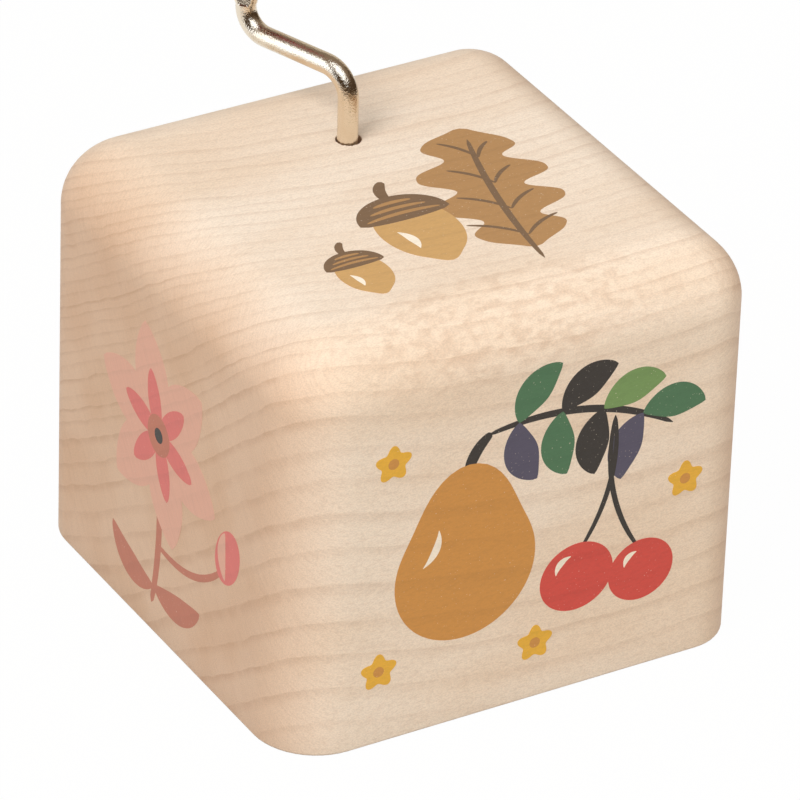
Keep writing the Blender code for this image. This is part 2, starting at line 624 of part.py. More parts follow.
def make_frame():
    low = (FRAME_FRONT_Y, FRAME_FOOT_Z)
    high = (BACK_CHEEK_BACK_Y, FRAME_TOP_Z)
    outline = rounded_outline(low, high, FRAME_CORNER_RADIUS, 3)
    frame = slab("movement_frame", outline, FRAME_OUTER_X, FRAME_INNER_X, ACROSS_X)
    sunk_x = FRAME_OUTER_X + FRAME_THICKNESS / 2
    seat_low = (sunk_x, COMB_Y - COMB_HALF, COMB_FOOT_Z)
    seat_high = (SEAT_X, COMB_Y + COMB_HALF, COMB_FOOT_Z + HEEL_LENGTH)
    seat = box("comb_seat", seat_low, seat_high)
    eye = (CYLINDER_X, CYLINDER_Z)
    front_outline = [
        (sunk_x, CYLINDER_Z - CHEEK_FOOT_HALF),
        *arc(eye, CHEEK_EYE_RADIUS, -math.pi / 2, math.pi / 2, EYE_SEGMENTS),
        (sunk_x, CYLINDER_Z + CHEEK_FOOT_HALF),
    ]
    front = slab("front_cheek", front_outline, FRONT_CHEEK_FRONT_Y, FRONT_CHEEK_BACK_Y, ACROSS_Y)
    back_outline = [
        (sunk_x, SHELF_FOOT - BACK_CHEEK_HALF), (CYLINDER_X, SHELF_FOOT + SEAT_CLEARANCE),
        (CHEEK_TOP_X, SHELF_FOOT + SEAT_CLEARANCE), (CHEEK_TOP_X, BRIDGE_FOOT - SEAT_GAP),
        (sunk_x, BRIDGE_FOOT - SEAT_GAP),
    ]
    back_low, back_high = BACK_CHEEK_FRONT_Y + SEAT_GAP, BACK_CHEEK_BACK_Y - SEAT_GAP
    back = slab("back_cheek", back_outline, back_low, back_high, ACROSS_Y)
    shelf = slab("lower_bearing", bearing_outline(sunk_x), SHELF_FOOT, SHELF_TOP, ACROSS_Z)
    join(frame, seat, front, back, shelf)
    arbor_way = Matrix.Rotation(-math.pi / 2, 4, "X")
    arbor_bore = rod(
        "arbor_bore", ARBOR_RADIUS + RUNNING_GAP, FRAME_FRONT_Y, BACK_CHEEK_BACK_Y + OVERRUN, ARBOR_SIDES,
        place_at(CYLINDER_X, 0, CYLINDER_Z, arbor_way),
    )
    worm_bore = rod(
        "worm_bore", WORM_FOOT_JOURNAL_RADIUS + RUNNING_GAP, SHELF_FOOT - OVERRUN, SHELF_TOP + OVERRUN,
        ARBOR_SIDES, place_at(CRANK_X, CRANK_Y, 0),
    )
    cut(frame, arbor_bore, worm_bore)
    along_x = Matrix.Rotation(math.pi / 2, 4, "Y")
    for index, y in enumerate(comb_screw_places()):
        depth = COMB_SCREW_LENGTH - HEEL_THICKNESS + TAP_DEPTH_SPARE
        tap = rod(
            f"comb_tap_{index}", COMB_SCREW_RADIUS + THREAD_GAP, -depth, OVERRUN, SCREW_SIDES,
            place_at(SEAT_X, y, COMB_SCREW_Z, along_x),
        )
        cut(frame, tap)
    for index, x in enumerate(bridge_screw_places()):
        depth = BRIDGE_SCREW_LENGTH - BRIDGE_THICKNESS + TAP_DEPTH_SPARE
        tap = rod(
            f"bridge_tap_{index}", BRIDGE_SCREW_RADIUS + THREAD_GAP, -depth, OVERRUN, SCREW_SIDES,
            place_at(x, BRIDGE_SCREW_Y, BRIDGE_FOOT - SEAT_GAP),
        )
        cut(frame, tap)
    for index, (y, z) in enumerate(FRAME_SCREW_PLACES):
        hole = rod(
            f"frame_hole_{index}", FRAME_SCREW_RADIUS + HOLE_OVERSIZE, -OVERRUN, FRAME_THICKNESS + OVERRUN,
            SCREW_SIDES, place_at(FRAME_OUTER_X, y, z, along_x),
        )
        cut(frame, hole)
    paint(frame, DIE_CAST)


def comb_screw_places():
    return [COMB_Y + side * COMB_SCREW_SPAN / 2 for side in (-1, 1)]


def bridge_screw_places():
    return [BRIDGE_SCREW_X - index * BRIDGE_SCREW_SPAN for index in range(2)]


def make_frame_screws():
    along_x = Matrix.Rotation(math.pi / 2, 4, "Y")
    profile = pan_profile(
        FRAME_SCREW_RADIUS, FRAME_SCREW_LENGTH, FRAME_SCREW_HEAD_RADIUS, FRAME_SCREW_HEAD_HEIGHT
    )
    data = screw_mesh("frame_screw", profile, 2)
    for index, (y, z) in enumerate(FRAME_SCREW_PLACES):
        head = FRAME_INNER_X + FRAME_SCREW_HEAD_HEIGHT + SEAT_GAP
        paint(new_object(f"frame_screw_{index + 1}", data, place_at(head, y, z, along_x)), ZINC_SCREW)


def make_comb():
    tines = []
    left = COMB_Y - COMB_SPAN / 2
    root_fall = (BASS_TINE_LENGTH - TREBLE_TINE_LENGTH) / TINE_COUNT
    bury = HEEL_LENGTH / 2
    outline = [(COMB_Y + COMB_HALF, COMB_FOOT_Z + bury), (left + COMB_SPAN, COMB_TIP_Z - TREBLE_TINE_LENGTH)]
    for index in reversed(range(TINE_COUNT)):
        middle = left + (index + 1 / 2) * TINE_PITCH
        root = COMB_TIP_Z - BASS_TINE_LENGTH + index * root_fall
        tines.append((middle + TINE_WIDTH / 2, root))
        tines.append((middle + TINE_WIDTH / 2, COMB_TIP_Z))
        tines.append((middle - TINE_WIDTH / 2, COMB_TIP_Z))
        tines.append((middle - TINE_WIDTH / 2, root))
    outline += tines
    outline += [(left, COMB_TIP_Z - BASS_TINE_LENGTH), (COMB_Y - COMB_HALF, COMB_FOOT_Z + bury)]
    half = TINE_THICKNESS / 2
    comb = slab("comb", outline, COMB_X - half, COMB_X + half, ACROSS_X)
    heel_outline = [
        (COMB_Y - COMB_HALF, COMB_FOOT_Z), (COMB_Y + COMB_HALF, COMB_FOOT_Z),
        (COMB_Y + COMB_HALF, COMB_TIP_Z - TREBLE_TINE_LENGTH - COMB_MARGIN),
        (COMB_Y - COMB_HALF, COMB_TIP_Z - BASS_TINE_LENGTH - COMB_MARGIN),
    ]
    heel = slab("comb_heel", heel_outline, HEEL_OUTER_X, HEEL_INNER_X, ACROSS_X)
    join(comb, heel)
    along_x = Matrix.Rotation(math.pi / 2, 4, "Y")
    for index, y in enumerate(comb_screw_places()):
        hole = rod(
            f"comb_hole_{index}", COMB_SCREW_RADIUS + HOLE_OVERSIZE, -OVERRUN, HEEL_THICKNESS + OVERRUN,
            SCREW_SIDES, place_at(HEEL_OUTER_X, y, COMB_SCREW_Z, along_x),
        )
        cut(comb, hole)
    paint(comb, COMB_STEEL)
    profile = pan_profile(
        COMB_SCREW_RADIUS, COMB_SCREW_LENGTH, COMB_SCREW_HEAD_RADIUS, COMB_SCREW_HEAD_HEIGHT
    )
    data = screw_mesh("comb_screw", profile, 1)
    for index, y in enumerate(comb_screw_places()):
        head = HEEL_INNER_X + COMB_SCREW_HEAD_HEIGHT + SEAT_GAP
        screw = new_object(f"comb_screw_{index + 1}", data, place_at(head, y, COMB_SCREW_Z, along_x))
        paint(screw, COMB_STEEL)


def make_bridge():
    bridge = slab("worm_bridge", bearing_outline(FRAME_INNER_X), BRIDGE_FOOT, BRIDGE_TOP, ACROSS_Z)
    bore = rod(
        "bridge_bore", WORM_TOP_JOURNAL_RADIUS + RUNNING_GAP, BRIDGE_FOOT - OVERRUN, BRIDGE_TOP + OVERRUN,
        ARBOR_SIDES, place_at(CRANK_X, CRANK_Y, 0),
    )
    cut(bridge, bore)
    for index, x in enumerate(bridge_screw_places()):
        hole = rod(
            f"bridge_hole_{index}", BRIDGE_SCREW_RADIUS + HOLE_OVERSIZE, BRIDGE_FOOT - OVERRUN,
            BRIDGE_TOP + OVERRUN, SCREW_SIDES, place_at(x, BRIDGE_SCREW_Y, 0),
        )
        cut(bridge, hole)
    paint(bridge, COMB_STEEL)
    profile = pan_profile(
        BRIDGE_SCREW_RADIUS, BRIDGE_SCREW_LENGTH, BRIDGE_SCREW_HEAD_RADIUS, BRIDGE_SCREW_HEAD_HEIGHT
    )
    data = screw_mesh("bridge_screw", profile, 1)
    for index, x in enumerate(bridge_screw_places()):
        head = BRIDGE_TOP + BRIDGE_SCREW_HEAD_HEIGHT + SEAT_GAP
        paint(new_object(f"bridge_screw_{index + 1}", data, place_at(x, BRIDGE_SCREW_Y, head)), ZINC_SCREW)


def pin_places():
    """A rolling pattern of broken chords, as tines and angles, with each pin in the middle of a facet."""
    places = []
    for beat in range(PIN_BEATS):
        angle = 2 * math.pi * (beat + 1 / 4) / PIN_BEATS
        step = beat % 4
        chord = (beat // 4) % 3
        places.append(((2 * step + 3 * chord + 7) % TINE_COUNT, angle))
        places.append(((11 + 5 * beat) % TINE_COUNT, angle + math.pi / PIN_BEATS))
        if step == 0:
            places.append((chord, angle))
    return places


def make_cylinder(axis):
    along_y = Matrix.Rotation(-math.pi / 2, 4, "X")
    place = place_at(CYLINDER_X, 0, CYLINDER_Z, along_y)
    inner = CYLINDER_RADIUS - CYLINDER_WALL
    tube = ring("cylinder_tube", CYLINDER_RADIUS, inner, TUBE_FRONT_Y, TUBE_BACK_Y, CYLINDER_SIDES, place)
    pins = bmesh.new()
    first = COMB_Y - (TINE_COUNT - 1) * TINE_PITCH / 2
    rooted = CYLINDER_RADIUS - CYLINDER_WALL / 2
    for tine, angle in pin_places():
        middle = (PIN_TIP_RADIUS + rooted) / 2
        outward = Matrix.Rotation(angle, 4, "Z") @ Matrix.Translation((middle, 0, first + tine * TINE_PITCH))
        bmesh.ops.create_cone(
            pins, cap_ends=True, segments=PIN_SIDES, radius1=PIN_RADIUS, radius2=PIN_RADIUS,
            depth=PIN_TIP_RADIUS - rooted, matrix=outward @ Matrix.Rotation(math.pi / 2, 4, "Y"),
        )
    join(tube, mesh_object("cylinder_pins", pins, place))
    paint(tube, BRASS)
    bore = ARBOR_RADIUS + SEAT_GAP
    cap_front = TUBE_FRONT_Y + SEAT_GAP
    cap_back = cap_front + CAP_THICKNESS
    cap = ring("cylinder_cap", inner - SEAT_GAP, bore, cap_front, cap_back, CYLINDER_SIDES, place)
    paint(cap, BRASS)
    arbor_front = FRONT_CHEEK_FRONT_Y - SEAT_GAP
    arbor_back = BACK_CHEEK_BACK_Y + ARBOR_TAIL
    arbor_profile = (
        (0, arbor_back), (ARBOR_RADIUS, arbor_back), (ARBOR_RADIUS, arbor_front),
        (ARBOR_HEAD_RADIUS, arbor_front), (ARBOR_HEAD_RADIUS, arbor_front - ARBOR_HEAD_LENGTH),
        (0, arbor_front - ARBOR_HEAD_LENGTH),
    )
    arbor = turned("cylinder_arbor", arbor_profile, ARBOR_SIDES, place)
    paint(arbor, COMB_STEEL)
    clip_front = BACK_CHEEK_BACK_Y + RUNNING_GAP
    clip = ring("arbor_clip", CLIP_RADIUS, bore, clip_front, clip_front + CLIP_THICKNESS, ARBOR_SIDES, place)
    paint(clip, COMB_STEEL)
    for piece in (tube, cap, arbor, clip, make_wheel(place)):
        hold(piece, axis)


def wheel_outline():
    """Teeth with straight flanks, four corners each, the first tooth space facing the worm."""
    points = []
    tip_half = TOOTH_WIDTH / 2 - TOOTH_ADDENDUM * math.tan(FLANK_ANGLE)
    root_half = TOOTH_WIDTH / 2 + TOOTH_DEDENDUM * math.tan(FLANK_ANGLE)
    root_radius = WHEEL_PITCH_RADIUS - TOOTH_DEDENDUM
    for tooth in range(WHEEL_TEETH):
        middle = 2 * math.pi * (tooth + 1 / 2) / WHEEL_TEETH
        corners = (
            (root_radius, -root_half), (WHEEL_TIP_RADIUS, -tip_half), (WHEEL_TIP_RADIUS, tip_half),
            (root_radius, root_half),
        )
        for radius, across in corners:
            angle = middle + across / radius
            points.append((radius * math.cos(angle), radius * math.sin(angle)))
    return points


def make_wheel(place):
    """The worm wheel: slanting teeth that follow the worm's lead, and a spigot inside the tube."""
    blank = slab("worm_wheel", wheel_outline(), WHEEL_FRONT_Y, WHEEL_BACK_Y, ACROSS_Z)
    lead_angle = math.atan(WORM_LEAD / (2 * math.pi * WORM_PITCH_RADIUS))
    twist = WHEEL_WIDTH * math.tan(lead_angle) / WHEEL_PITCH_RADIUS
    shape = bmesh.new()
    shape.from_mesh(blank.data)
    for end in (-1, 1):
        face = [v for v in shape.verts if v.co.z * end > 0]
        turn = Matrix.Rotation(end * twist / 2, 4, "Z")
        bmesh.ops.rotate(shape, cent=(0, 0, 0), matrix=turn, verts=face)
    shape.to_mesh(blank.data)
    shape.free()
    blank.matrix_world = place @ Matrix.Translation((0, 0, CRANK_Y))
    spigot_radius = CYLINDER_RADIUS - CYLINDER_WALL - SEAT_GAP
    profile = (
        (0, CRANK_Y), (HUB_RADIUS, CRANK_Y), (HUB_RADIUS, TUBE_BACK_Y), (spigot_radius, TUBE_BACK_Y),
        (spigot_radius, TUBE_BACK_Y - SPIGOT_LENGTH), (0, TUBE_BACK_Y - SPIGOT_LENGTH),
    )
    spigot = turned("wheel_spigot", profile, CYLINDER_SIDES, place)
    join(blank, spigot)
    bore = rod(
        "wheel_bore", ARBOR_RADIUS + SEAT_GAP, TUBE_FRONT_Y, WHEEL_BACK_Y + OVERRUN, ARBOR_SIDES, place
    )
    cut(blank, bore)
    paint(blank, NYLON)
    return blank


def make_worm(axis):
    """The worm: a turned shaft with a helical thread joined on, bored for the crank."""
    place = place_at(CRANK_X, CRANK_Y, 0)
    collar_top = BRIDGE_FOOT - RUNNING_GAP
    collar_foot = SHELF_TOP + RUNNING_GAP
    profile = (
        (0, WORM_TOP), (WORM_TOP_JOURNAL_RADIUS, WORM_TOP), (WORM_TOP_JOURNAL_RADIUS, collar_top),
        (WORM_SHOULDER_RADIUS, collar_top), (WORM_SHOULDER_RADIUS, collar_foot),
        (WORM_FOOT_JOURNAL_RADIUS, collar_foot), (WORM_FOOT_JOURNAL_RADIUS, WORM_FOOT), (0, WORM_FOOT),
    )
    half_step = Matrix.Rotation(math.pi / WORM_STEPS, 4, "Z")
    worm = turned("worm_shaft", profile, WORM_STEPS, place @ half_step)
    root_radius = WORM_SHOULDER_RADIUS - TOOTH_ADDENDUM / 4
    tip_radius = WORM_PITCH_RADIUS + TOOTH_ADDENDUM
    tip_half = TOOTH_WIDTH / 2 - TOOTH_ADDENDUM * math.tan(FLANK_ANGLE)
    root_half = TOOTH_WIDTH / 2 + (WORM_PITCH_RADIUS - root_radius) * math.tan(FLANK_ANGLE)
    foot = -WORM_LEAD * WORM_TURNS / 2
    section = bmesh.new()
    corners = [
        section.verts.new((radius, 0, foot + across))
        for radius, across in (
            (root_radius, root_half), (tip_radius, tip_half),
            (tip_radius, -tip_half), (root_radius, -root_half),
        )
    ]
    for first, second in zip(corners, corners[1:] + corners[:1]):
        section.edges.new((first, second))
    thread = mesh_object("worm_thread", section, place_at(CRANK_X, CRANK_Y, CYLINDER_Z))
    wind = thread.modifiers.new("Wind", "SCREW")
    wind.axis = "Z"
    wind.angle = 2 * math.pi * WORM_TURNS
    wind.screw_offset = WORM_LEAD * WORM_TURNS
    wind.steps = WORM_STEPS * WORM_TURNS
    wind.render_steps = WORM_STEPS * WORM_TURNS
    thread = as_mesh(thread)
    capped = bmesh.new()
    capped.from_mesh(thread.data)
    bmesh.ops.holes_fill(capped, edges=[e for e in capped.edges if e.is_boundary], sides=4)
    bmesh.ops.recalc_face_normals(capped, faces=capped.faces)
    capped.to_mesh(thread.data)
    capped.free()
    join(worm, thread)
    socket = rod(
        "crank_socket", WIRE_STUB_RADIUS + THREAD_GAP, WIRE_SHOULDER_Z - WIRE_STUB_LENGTH - TAP_DEPTH_SPARE,
        WORM_TOP + OVERRUN, SCREW_SIDES, place,
    )
    cut(worm, socket)
    paint(worm, COMB_STEEL)
    hold(worm, axis)


def crank_path():
    """Points (place, radius) along the wire: stub, riser, bend, arm, bend, grip and its rivet."""
    outward = Vector((-math.sin(CRANK_REST_ANGLE), math.cos(CRANK_REST_ANGLE), 0))
    up = Vector((0, 0, 1))
    foot = Vector((CRANK_X, CRANK_Y, 0))
    grip = Vector((GRIP_X, GRIP_Y, 0))
    stub_foot = WIRE_SHOULDER_Z - WIRE_STUB_LENGTH
    path = [
        (foot + up * stub_foot, WIRE_STUB_RADIUS), (foot + up * (WIRE_SHOULDER_Z - WELD), WIRE_STUB_RADIUS),
        (foot + up * WIRE_SHOULDER_Z, WIRE_RADIUS), (foot + up * BLOCK_HEIGHT, WIRE_RADIUS),
    ]
    lower = foot + up * (ARM_Z - BEND_RADIUS) + outward * BEND_RADIUS
    upper = grip + up * (ARM_Z + BEND_RADIUS) - outward * BEND_RADIUS
    for step in range(BEND_STEPS + 1):
        angle = math.pi / 2 * step / BEND_STEPS
        path.append((lower + BEND_RADIUS * (up * math.sin(angle) - outward * math.cos(angle)), WIRE_RADIUS))
    for step in range(BEND_STEPS + 1):
        angle = math.pi / 2 * step / BEND_STEPS
        path.append((upper + BEND_RADIUS * (outward * math.sin(angle) - up * math.cos(angle)), WIRE_RADIUS))
    for share in (1 / 4, 1 / 2, 3 / 4, 1):
        path.append((grip + up * (EAR_FOOT_Z + share * EAR_LENGTH), WIRE_RADIUS))
    crown = RIVET_HEIGHT / 3
    path += [
        (grip + up * (RIVET_FOOT_Z - WELD), WIRE_RADIUS), (grip + up * RIVET_FOOT_Z, RIVET_RADIUS),
        (grip + up * (RIVET_TOP_Z - crown), RIVET_RADIUS), (grip + up * RIVET_TOP_Z, RIVET_RADIUS - crown),
    ]
    return path


def make_crank(axis):
    curve = bpy.data.curves.new("crank_wire", "CURVE")
    curve.dimensions = "3D"
    curve.bevel_depth = WIRE_RADIUS
    curve.bevel_resolution = WIRE_SIDES_RESOLUTION
    curve.use_fill_caps = True
    path = crank_path()
    spline = curve.splines.new("POLY")
    spline.points.add(len(path) - 1)
    for point, (place, radius) in zip(spline.points, path):
        point.co = (*place, 1)
        point.radius = radius / WIRE_RADIUS
    wire = as_mesh(new_object("crank_wire", curve))
    pinch_ears(wire.data)
    paint(wire, NICKEL)
    hold(wire, axis)
    washer = ring(
        "knob_washer", WASHER_RADIUS, WIRE_RADIUS + RUNNING_GAP, WASHER_FOOT_Z, WASHER_TOP_Z, ARBOR_SIDES,
        place_at(GRIP_X, GRIP_Y, 0),
    )
    paint(washer, NICKEL)
    hold(washer, axis)


def pinch_ears(data):
    """Squeeze the wire under the knob, so that it is flat at both sides and stands proud along the arm."""
    arm = Vector((-math.sin(CRANK_REST_ANGLE), math.cos(CRANK_REST_ANGLE), 0))
    across = Vector((math.cos(CRANK_REST_ANGLE), math.sin(CRANK_REST_ANGLE), 0))
    centre = Vector((GRIP_X, GRIP_Y, 0))
    for vertex in data.vertices:
        share = (vertex.co.z - EAR_FOOT_Z) / EAR_LENGTH
        if not 0 < share < 1:
            continue
        amount = math.sqrt(math.sin(math.pi * share))
        offset = vertex.co - centre
        along_arm = offset.dot(arm)
        sideways = offset.dot(across)
        vertex.co += across * sideways * (EAR_PINCH_SHARE - 1) * amount
        vertex.co += arm * along_arm * (EAR_SPREAD_SHARE - 1) * amount


def make_knob(axis):
    bore = WIRE_RADIUS + KNOB_RUNNING_GAP
    rise = KNOB_RADIUS - KNOB_FOOT_RADIUS
    side = [
        (KNOB_FOOT_RADIUS + share * rise, KNOB_FOOT_Z + height * KNOB_HEIGHT)
        for height, share in KNOB_SIDE_SHARES
    ]
    profile = [
        (KNOB_COUNTERBORE_RADIUS, KNOB_TOP_Z), (KNOB_FOOT_RADIUS, KNOB_TOP_Z), *side,
        (KNOB_FOOT_RADIUS - rise / 4, KNOB_FOOT_Z), (bore, KNOB_FOOT_Z), (bore, COUNTERBORE_FOOT_Z),
        (KNOB_COUNTERBORE_RADIUS, COUNTERBORE_FOOT_Z), (KNOB_COUNTERBORE_RADIUS, KNOB_TOP_Z),
    ]
    knob = turned("crank_knob", profile, KNOB_SIDES, place_at(GRIP_X, GRIP_Y, 0))
    paint(knob, KNOB_RED)
    hold(knob, axis)


clear_scene()
PIECES = new_collection("sound_cube")
TOOLS = new_collection("cutters")
MAPLE = new_material("maple", (0.80, 0.63, 0.45), 0.55)
PLYWOOD = new_material("birch_plywood", (0.72, 0.55, 0.36), 0.6)
NICKEL = new_material("nickel_plate", (0.72, 0.68, 0.60), 0.2, 1.0)
DIE_CAST = new_material("die_cast_zinc", (0.55, 0.56, 0.58), 0.45, 1.0)
COMB_STEEL = new_material("comb_steel", (0.60, 0.61, 0.62), 0.3, 1.0)
ZINC_SCREW = new_material("zinc_screw", (0.62, 0.62, 0.60), 0.35, 1.0)
BRASS = new_material("brass", (0.80, 0.60, 0.26), 0.3, 1.0)
NYLON = new_material("nylon", (0.85, 0.83, 0.76), 0.45)
KNOB_RED = new_material("knob_lacquer", (0.30, 0.05, 0.04), 0.3)
crank_axis = axis_empty("crank_axis", (CRANK_X, CRANK_Y, CYLINDER_Z))
knob_axis = axis_empty("knob_axis", (GRIP_X, GRIP_Y, KNOB_FOOT_Z), crank_axis)
cylinder_axis = axis_empty("cylinder_axis", (CYLINDER_X, COMB_Y, CYLINDER_Z))
make_block()
make_base()
make_board()
make_frame()
make_frame_screws()
make_comb()
make_bridge()
make_cylinder(cylinder_axis)
make_worm(crank_axis)
make_crank(crank_axis)
make_knob(knob_axis)
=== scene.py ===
"""Looks of the wooden sound cube: the printed maple block, wire crank, knob, and the movement's finishes.

Everything stands in the frame's own metres, +Z up. Sizes named here are millimetres times MM.
"""

import json
import math

import bpy
import numpy as np
from bpy.props import FloatProperty, FloatVectorProperty, IntProperty, PointerProperty
from mathutils import Matrix, Vector


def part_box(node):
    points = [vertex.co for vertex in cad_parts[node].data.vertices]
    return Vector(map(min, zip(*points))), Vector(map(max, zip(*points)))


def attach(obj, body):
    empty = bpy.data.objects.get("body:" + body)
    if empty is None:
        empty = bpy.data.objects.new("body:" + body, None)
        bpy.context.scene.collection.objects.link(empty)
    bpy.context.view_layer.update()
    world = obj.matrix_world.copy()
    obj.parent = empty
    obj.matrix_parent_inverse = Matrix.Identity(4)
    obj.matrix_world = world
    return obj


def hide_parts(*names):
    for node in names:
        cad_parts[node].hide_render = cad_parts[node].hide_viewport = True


bl_info = {
    "name": "Sound cube looks",
    "version": (1, 0, 0),
    "blender": (4, 5, 0),
    "location": "3D View > Sidebar > Sound cube",
    "description": "Dresses the packed sound cube with its printed block, wire crank, knob and finishes",
    "category": "Object",
}

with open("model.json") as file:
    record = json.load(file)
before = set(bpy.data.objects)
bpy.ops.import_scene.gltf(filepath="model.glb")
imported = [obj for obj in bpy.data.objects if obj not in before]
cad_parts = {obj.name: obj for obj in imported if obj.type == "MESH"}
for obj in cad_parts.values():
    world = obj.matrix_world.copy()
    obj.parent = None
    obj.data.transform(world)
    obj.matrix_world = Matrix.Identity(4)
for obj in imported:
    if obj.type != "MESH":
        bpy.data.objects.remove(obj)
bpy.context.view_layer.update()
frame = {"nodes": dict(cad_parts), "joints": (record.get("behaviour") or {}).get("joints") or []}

MM = 0.001
QUARTER_TURN = math.pi / 2
FULL_TURN = 2 * math.pi

# Places that the frame gives
BLOCK_LOW, BLOCK_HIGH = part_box("block_shell")
PLATE_LOW, PLATE_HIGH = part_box("base_plate")
BOARD_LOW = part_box("mounting_board")[0]
WIRE_LOW, WIRE_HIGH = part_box("crank_wire")
KNOB_LOW, KNOB_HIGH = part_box("crank_knob")
WASHER_LOW, WASHER_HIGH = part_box("knob_washer")
JOINTS = {joint["name"]: Vector(joint["pos_m"]) for joint in frame["joints"]}
CRANK_AXIS = JOINTS["crank_spin"]
KNOB_AXIS = JOINTS["knob_spin"]

# How finely the surfaces are laid out
CORNER_COLUMNS = 12
SIDE_COLUMNS = 30
FOOT_ROWS = 5
SIDE_ROWS = 16
EDGE_ROWS = 18
TOP_ROWS = 18
HOLE_ROWS = 8
CEILING_ROWS = 8
WALL_ROWS = 10
WIRE_COLUMNS = 48
BEND_ROWS = 28
RISER_ROWS = 40
ARM_ROWS = 16
GRIP_ROWS = 120
KNOB_COLUMNS = 64
LEAF_ROWS = 30
LEAF_COLUMNS = 6
DISC_COLUMNS = 72
DISC_ROWS = 5
SHARP_EDGE = math.radians(35)

# Ink
INK_PROUD = 0.04 * MM
INK_SUNK = 0.04 * MM
BLUNT_TIP = 0.05 * MM

# The curve of screen colours: straight up to its toe, then a power
SCREEN_TOE = 0.04045
SCREEN_SLOPE = 12.92
SCREEN_OFFSET = 0.055
SCREEN_POWER = 2.4

# Camera, fitted to the block's outline in the photograph
CAMERA_AZIMUTH = math.radians(-31.0328)
CAMERA_ELEVATION = math.radians(31.6398)
CAMERA_ROLL = math.radians(2.0575)
CAMERA_LENS = 333.126
CAMERA_SENSOR = 36.0
CAMERA_DISTANCE = 988.81 * MM
CAMERA_TARGET = Vector((0.33144, -1.48583, 28.46102)) * MM
CAMERA_NEAR = 0.01
CAMERA_FAR = 100.0


def length_property(name, description, default):
    """A length that the sidebar shows with its unit."""
    return FloatProperty(name=name, description=description, default=default, unit="LENGTH")


def colour_property(name, description, default):
    """A colour as the screen shows it."""
    return FloatVectorProperty(
        name=name, description=description, size=3, subtype="COLOR_GAMMA", default=default, min=0, max=1,
    )


class BlockSizes(bpy.types.PropertyGroup):
    """Sizes of the wooden block that the frame's box doesn't give."""

    corner_radii: FloatVectorProperty(
        name="Corner radii", description="Radii of the upright edges, from right back round to right front",
        size=4, default=(7.13 * MM, 7.92 * MM, 9.19 * MM, 7.2 * MM), unit="LENGTH",
    )
    top_radius: length_property("Top edge radius", "Rounding between the sides and the top", 9.6 * MM)
    foot_radius: length_property("Foot easing", "Easing of the edge that the block stands on", 0.5 * MM)
    wall: length_property("Wall", "Thickness of the side walls", 10.0 * MM)
    ceiling: length_property("Ceiling", "Thickness over the hollow", 9.0 * MM)
    cavity_radius: length_property("Hollow radius", "Radius of the hollow's upright corners", 3.0 * MM)
    plate_fit: length_property("Plate fit", "Gap round the base plate", 0.2 * MM)
    seat_gap: length_property("Seat gap", "Gap between the base plate and its ledge", 0.1 * MM)
    hole_radius: length_property("Hole radius", "Radius of the hole that the crank turns in", 1.76 * MM)
    hole_chamfer: length_property("Hole chamfer", "Broken edge round the hole", 0.06 * MM)
    hole_raggedness: length_property(
        "Hole raggedness", "How far the torn fibres stray from the circle", 0.13 * MM,
    )


class WoodLook(bpy.types.PropertyGroup):
    """Colours and ring widths of the maple."""

    pale: colour_property("Pale wood", "Colour between the growth lines", (0.945, 0.880, 0.808))
    warm: colour_property("Warm wood", "Colour of the slow warmer patches", (0.915, 0.829, 0.739))
    line: colour_property("Growth line", "Colour of the growth lines", (0.74, 0.59, 0.47))
    end_grain: colour_property(
        "End grain", "Tint of the wood where its fibres end", (0.925, 0.850, 0.793),
    )
    wide_ring: length_property("Wide rings", "Width of a growth ring low at the front", 4.1 * MM)
    narrow_ring: length_property("Narrow rings", "Width of a growth ring high at the back", 1.55 * MM)


class PrintLook(bpy.types.PropertyGroup):
    """Colours of the printed inks."""

    mustard: colour_property("Mustard", "Ink of the pear and the blossoms' hearts", (0.80, 0.565, 0.29))
    red: colour_property("Red", "Ink of the cherries", (0.815, 0.31, 0.27))
    yellow: colour_property("Yellow", "Ink of the small blossoms", (0.90, 0.69, 0.25))
    green: colour_property("Green", "Ink of the larger leaves", (0.30, 0.45, 0.32))
    light_green: colour_property("Light green", "Ink of the young leaves", (0.46, 0.58, 0.35))
    navy: colour_property("Navy", "Ink of the blue leaves", (0.33, 0.31, 0.38))
    black: colour_property(
        "Black", "Ink of the stalks, the dark leaves and the flower's heart", (0.20, 0.175, 0.15),
    )
    pink: colour_property("Pink", "Ink of the large petals", (0.885, 0.68, 0.59))
    rose: colour_property("Rose", "Ink of the small petals and the bud", (0.86, 0.47, 0.44))
    chestnut: colour_property(
        "Chestnut", "Ink of the flower's stalk, leaves and centre", (0.75, 0.47, 0.38),
    )
    ochre: colour_property("Ochre", "Ink of the oak leaf and the cups' rows", (0.70, 0.53, 0.34))
    amber: colour_property("Amber", "Ink of the acorns", (0.80, 0.63, 0.40))
    umber: colour_property(
        "Umber", "Ink of the acorns' cups and stalks and of the leaf's veins", (0.49, 0.385, 0.285),
    )
    cream: colour_property("Cream", "Ink of the highlights", (0.975, 0.925, 0.85))


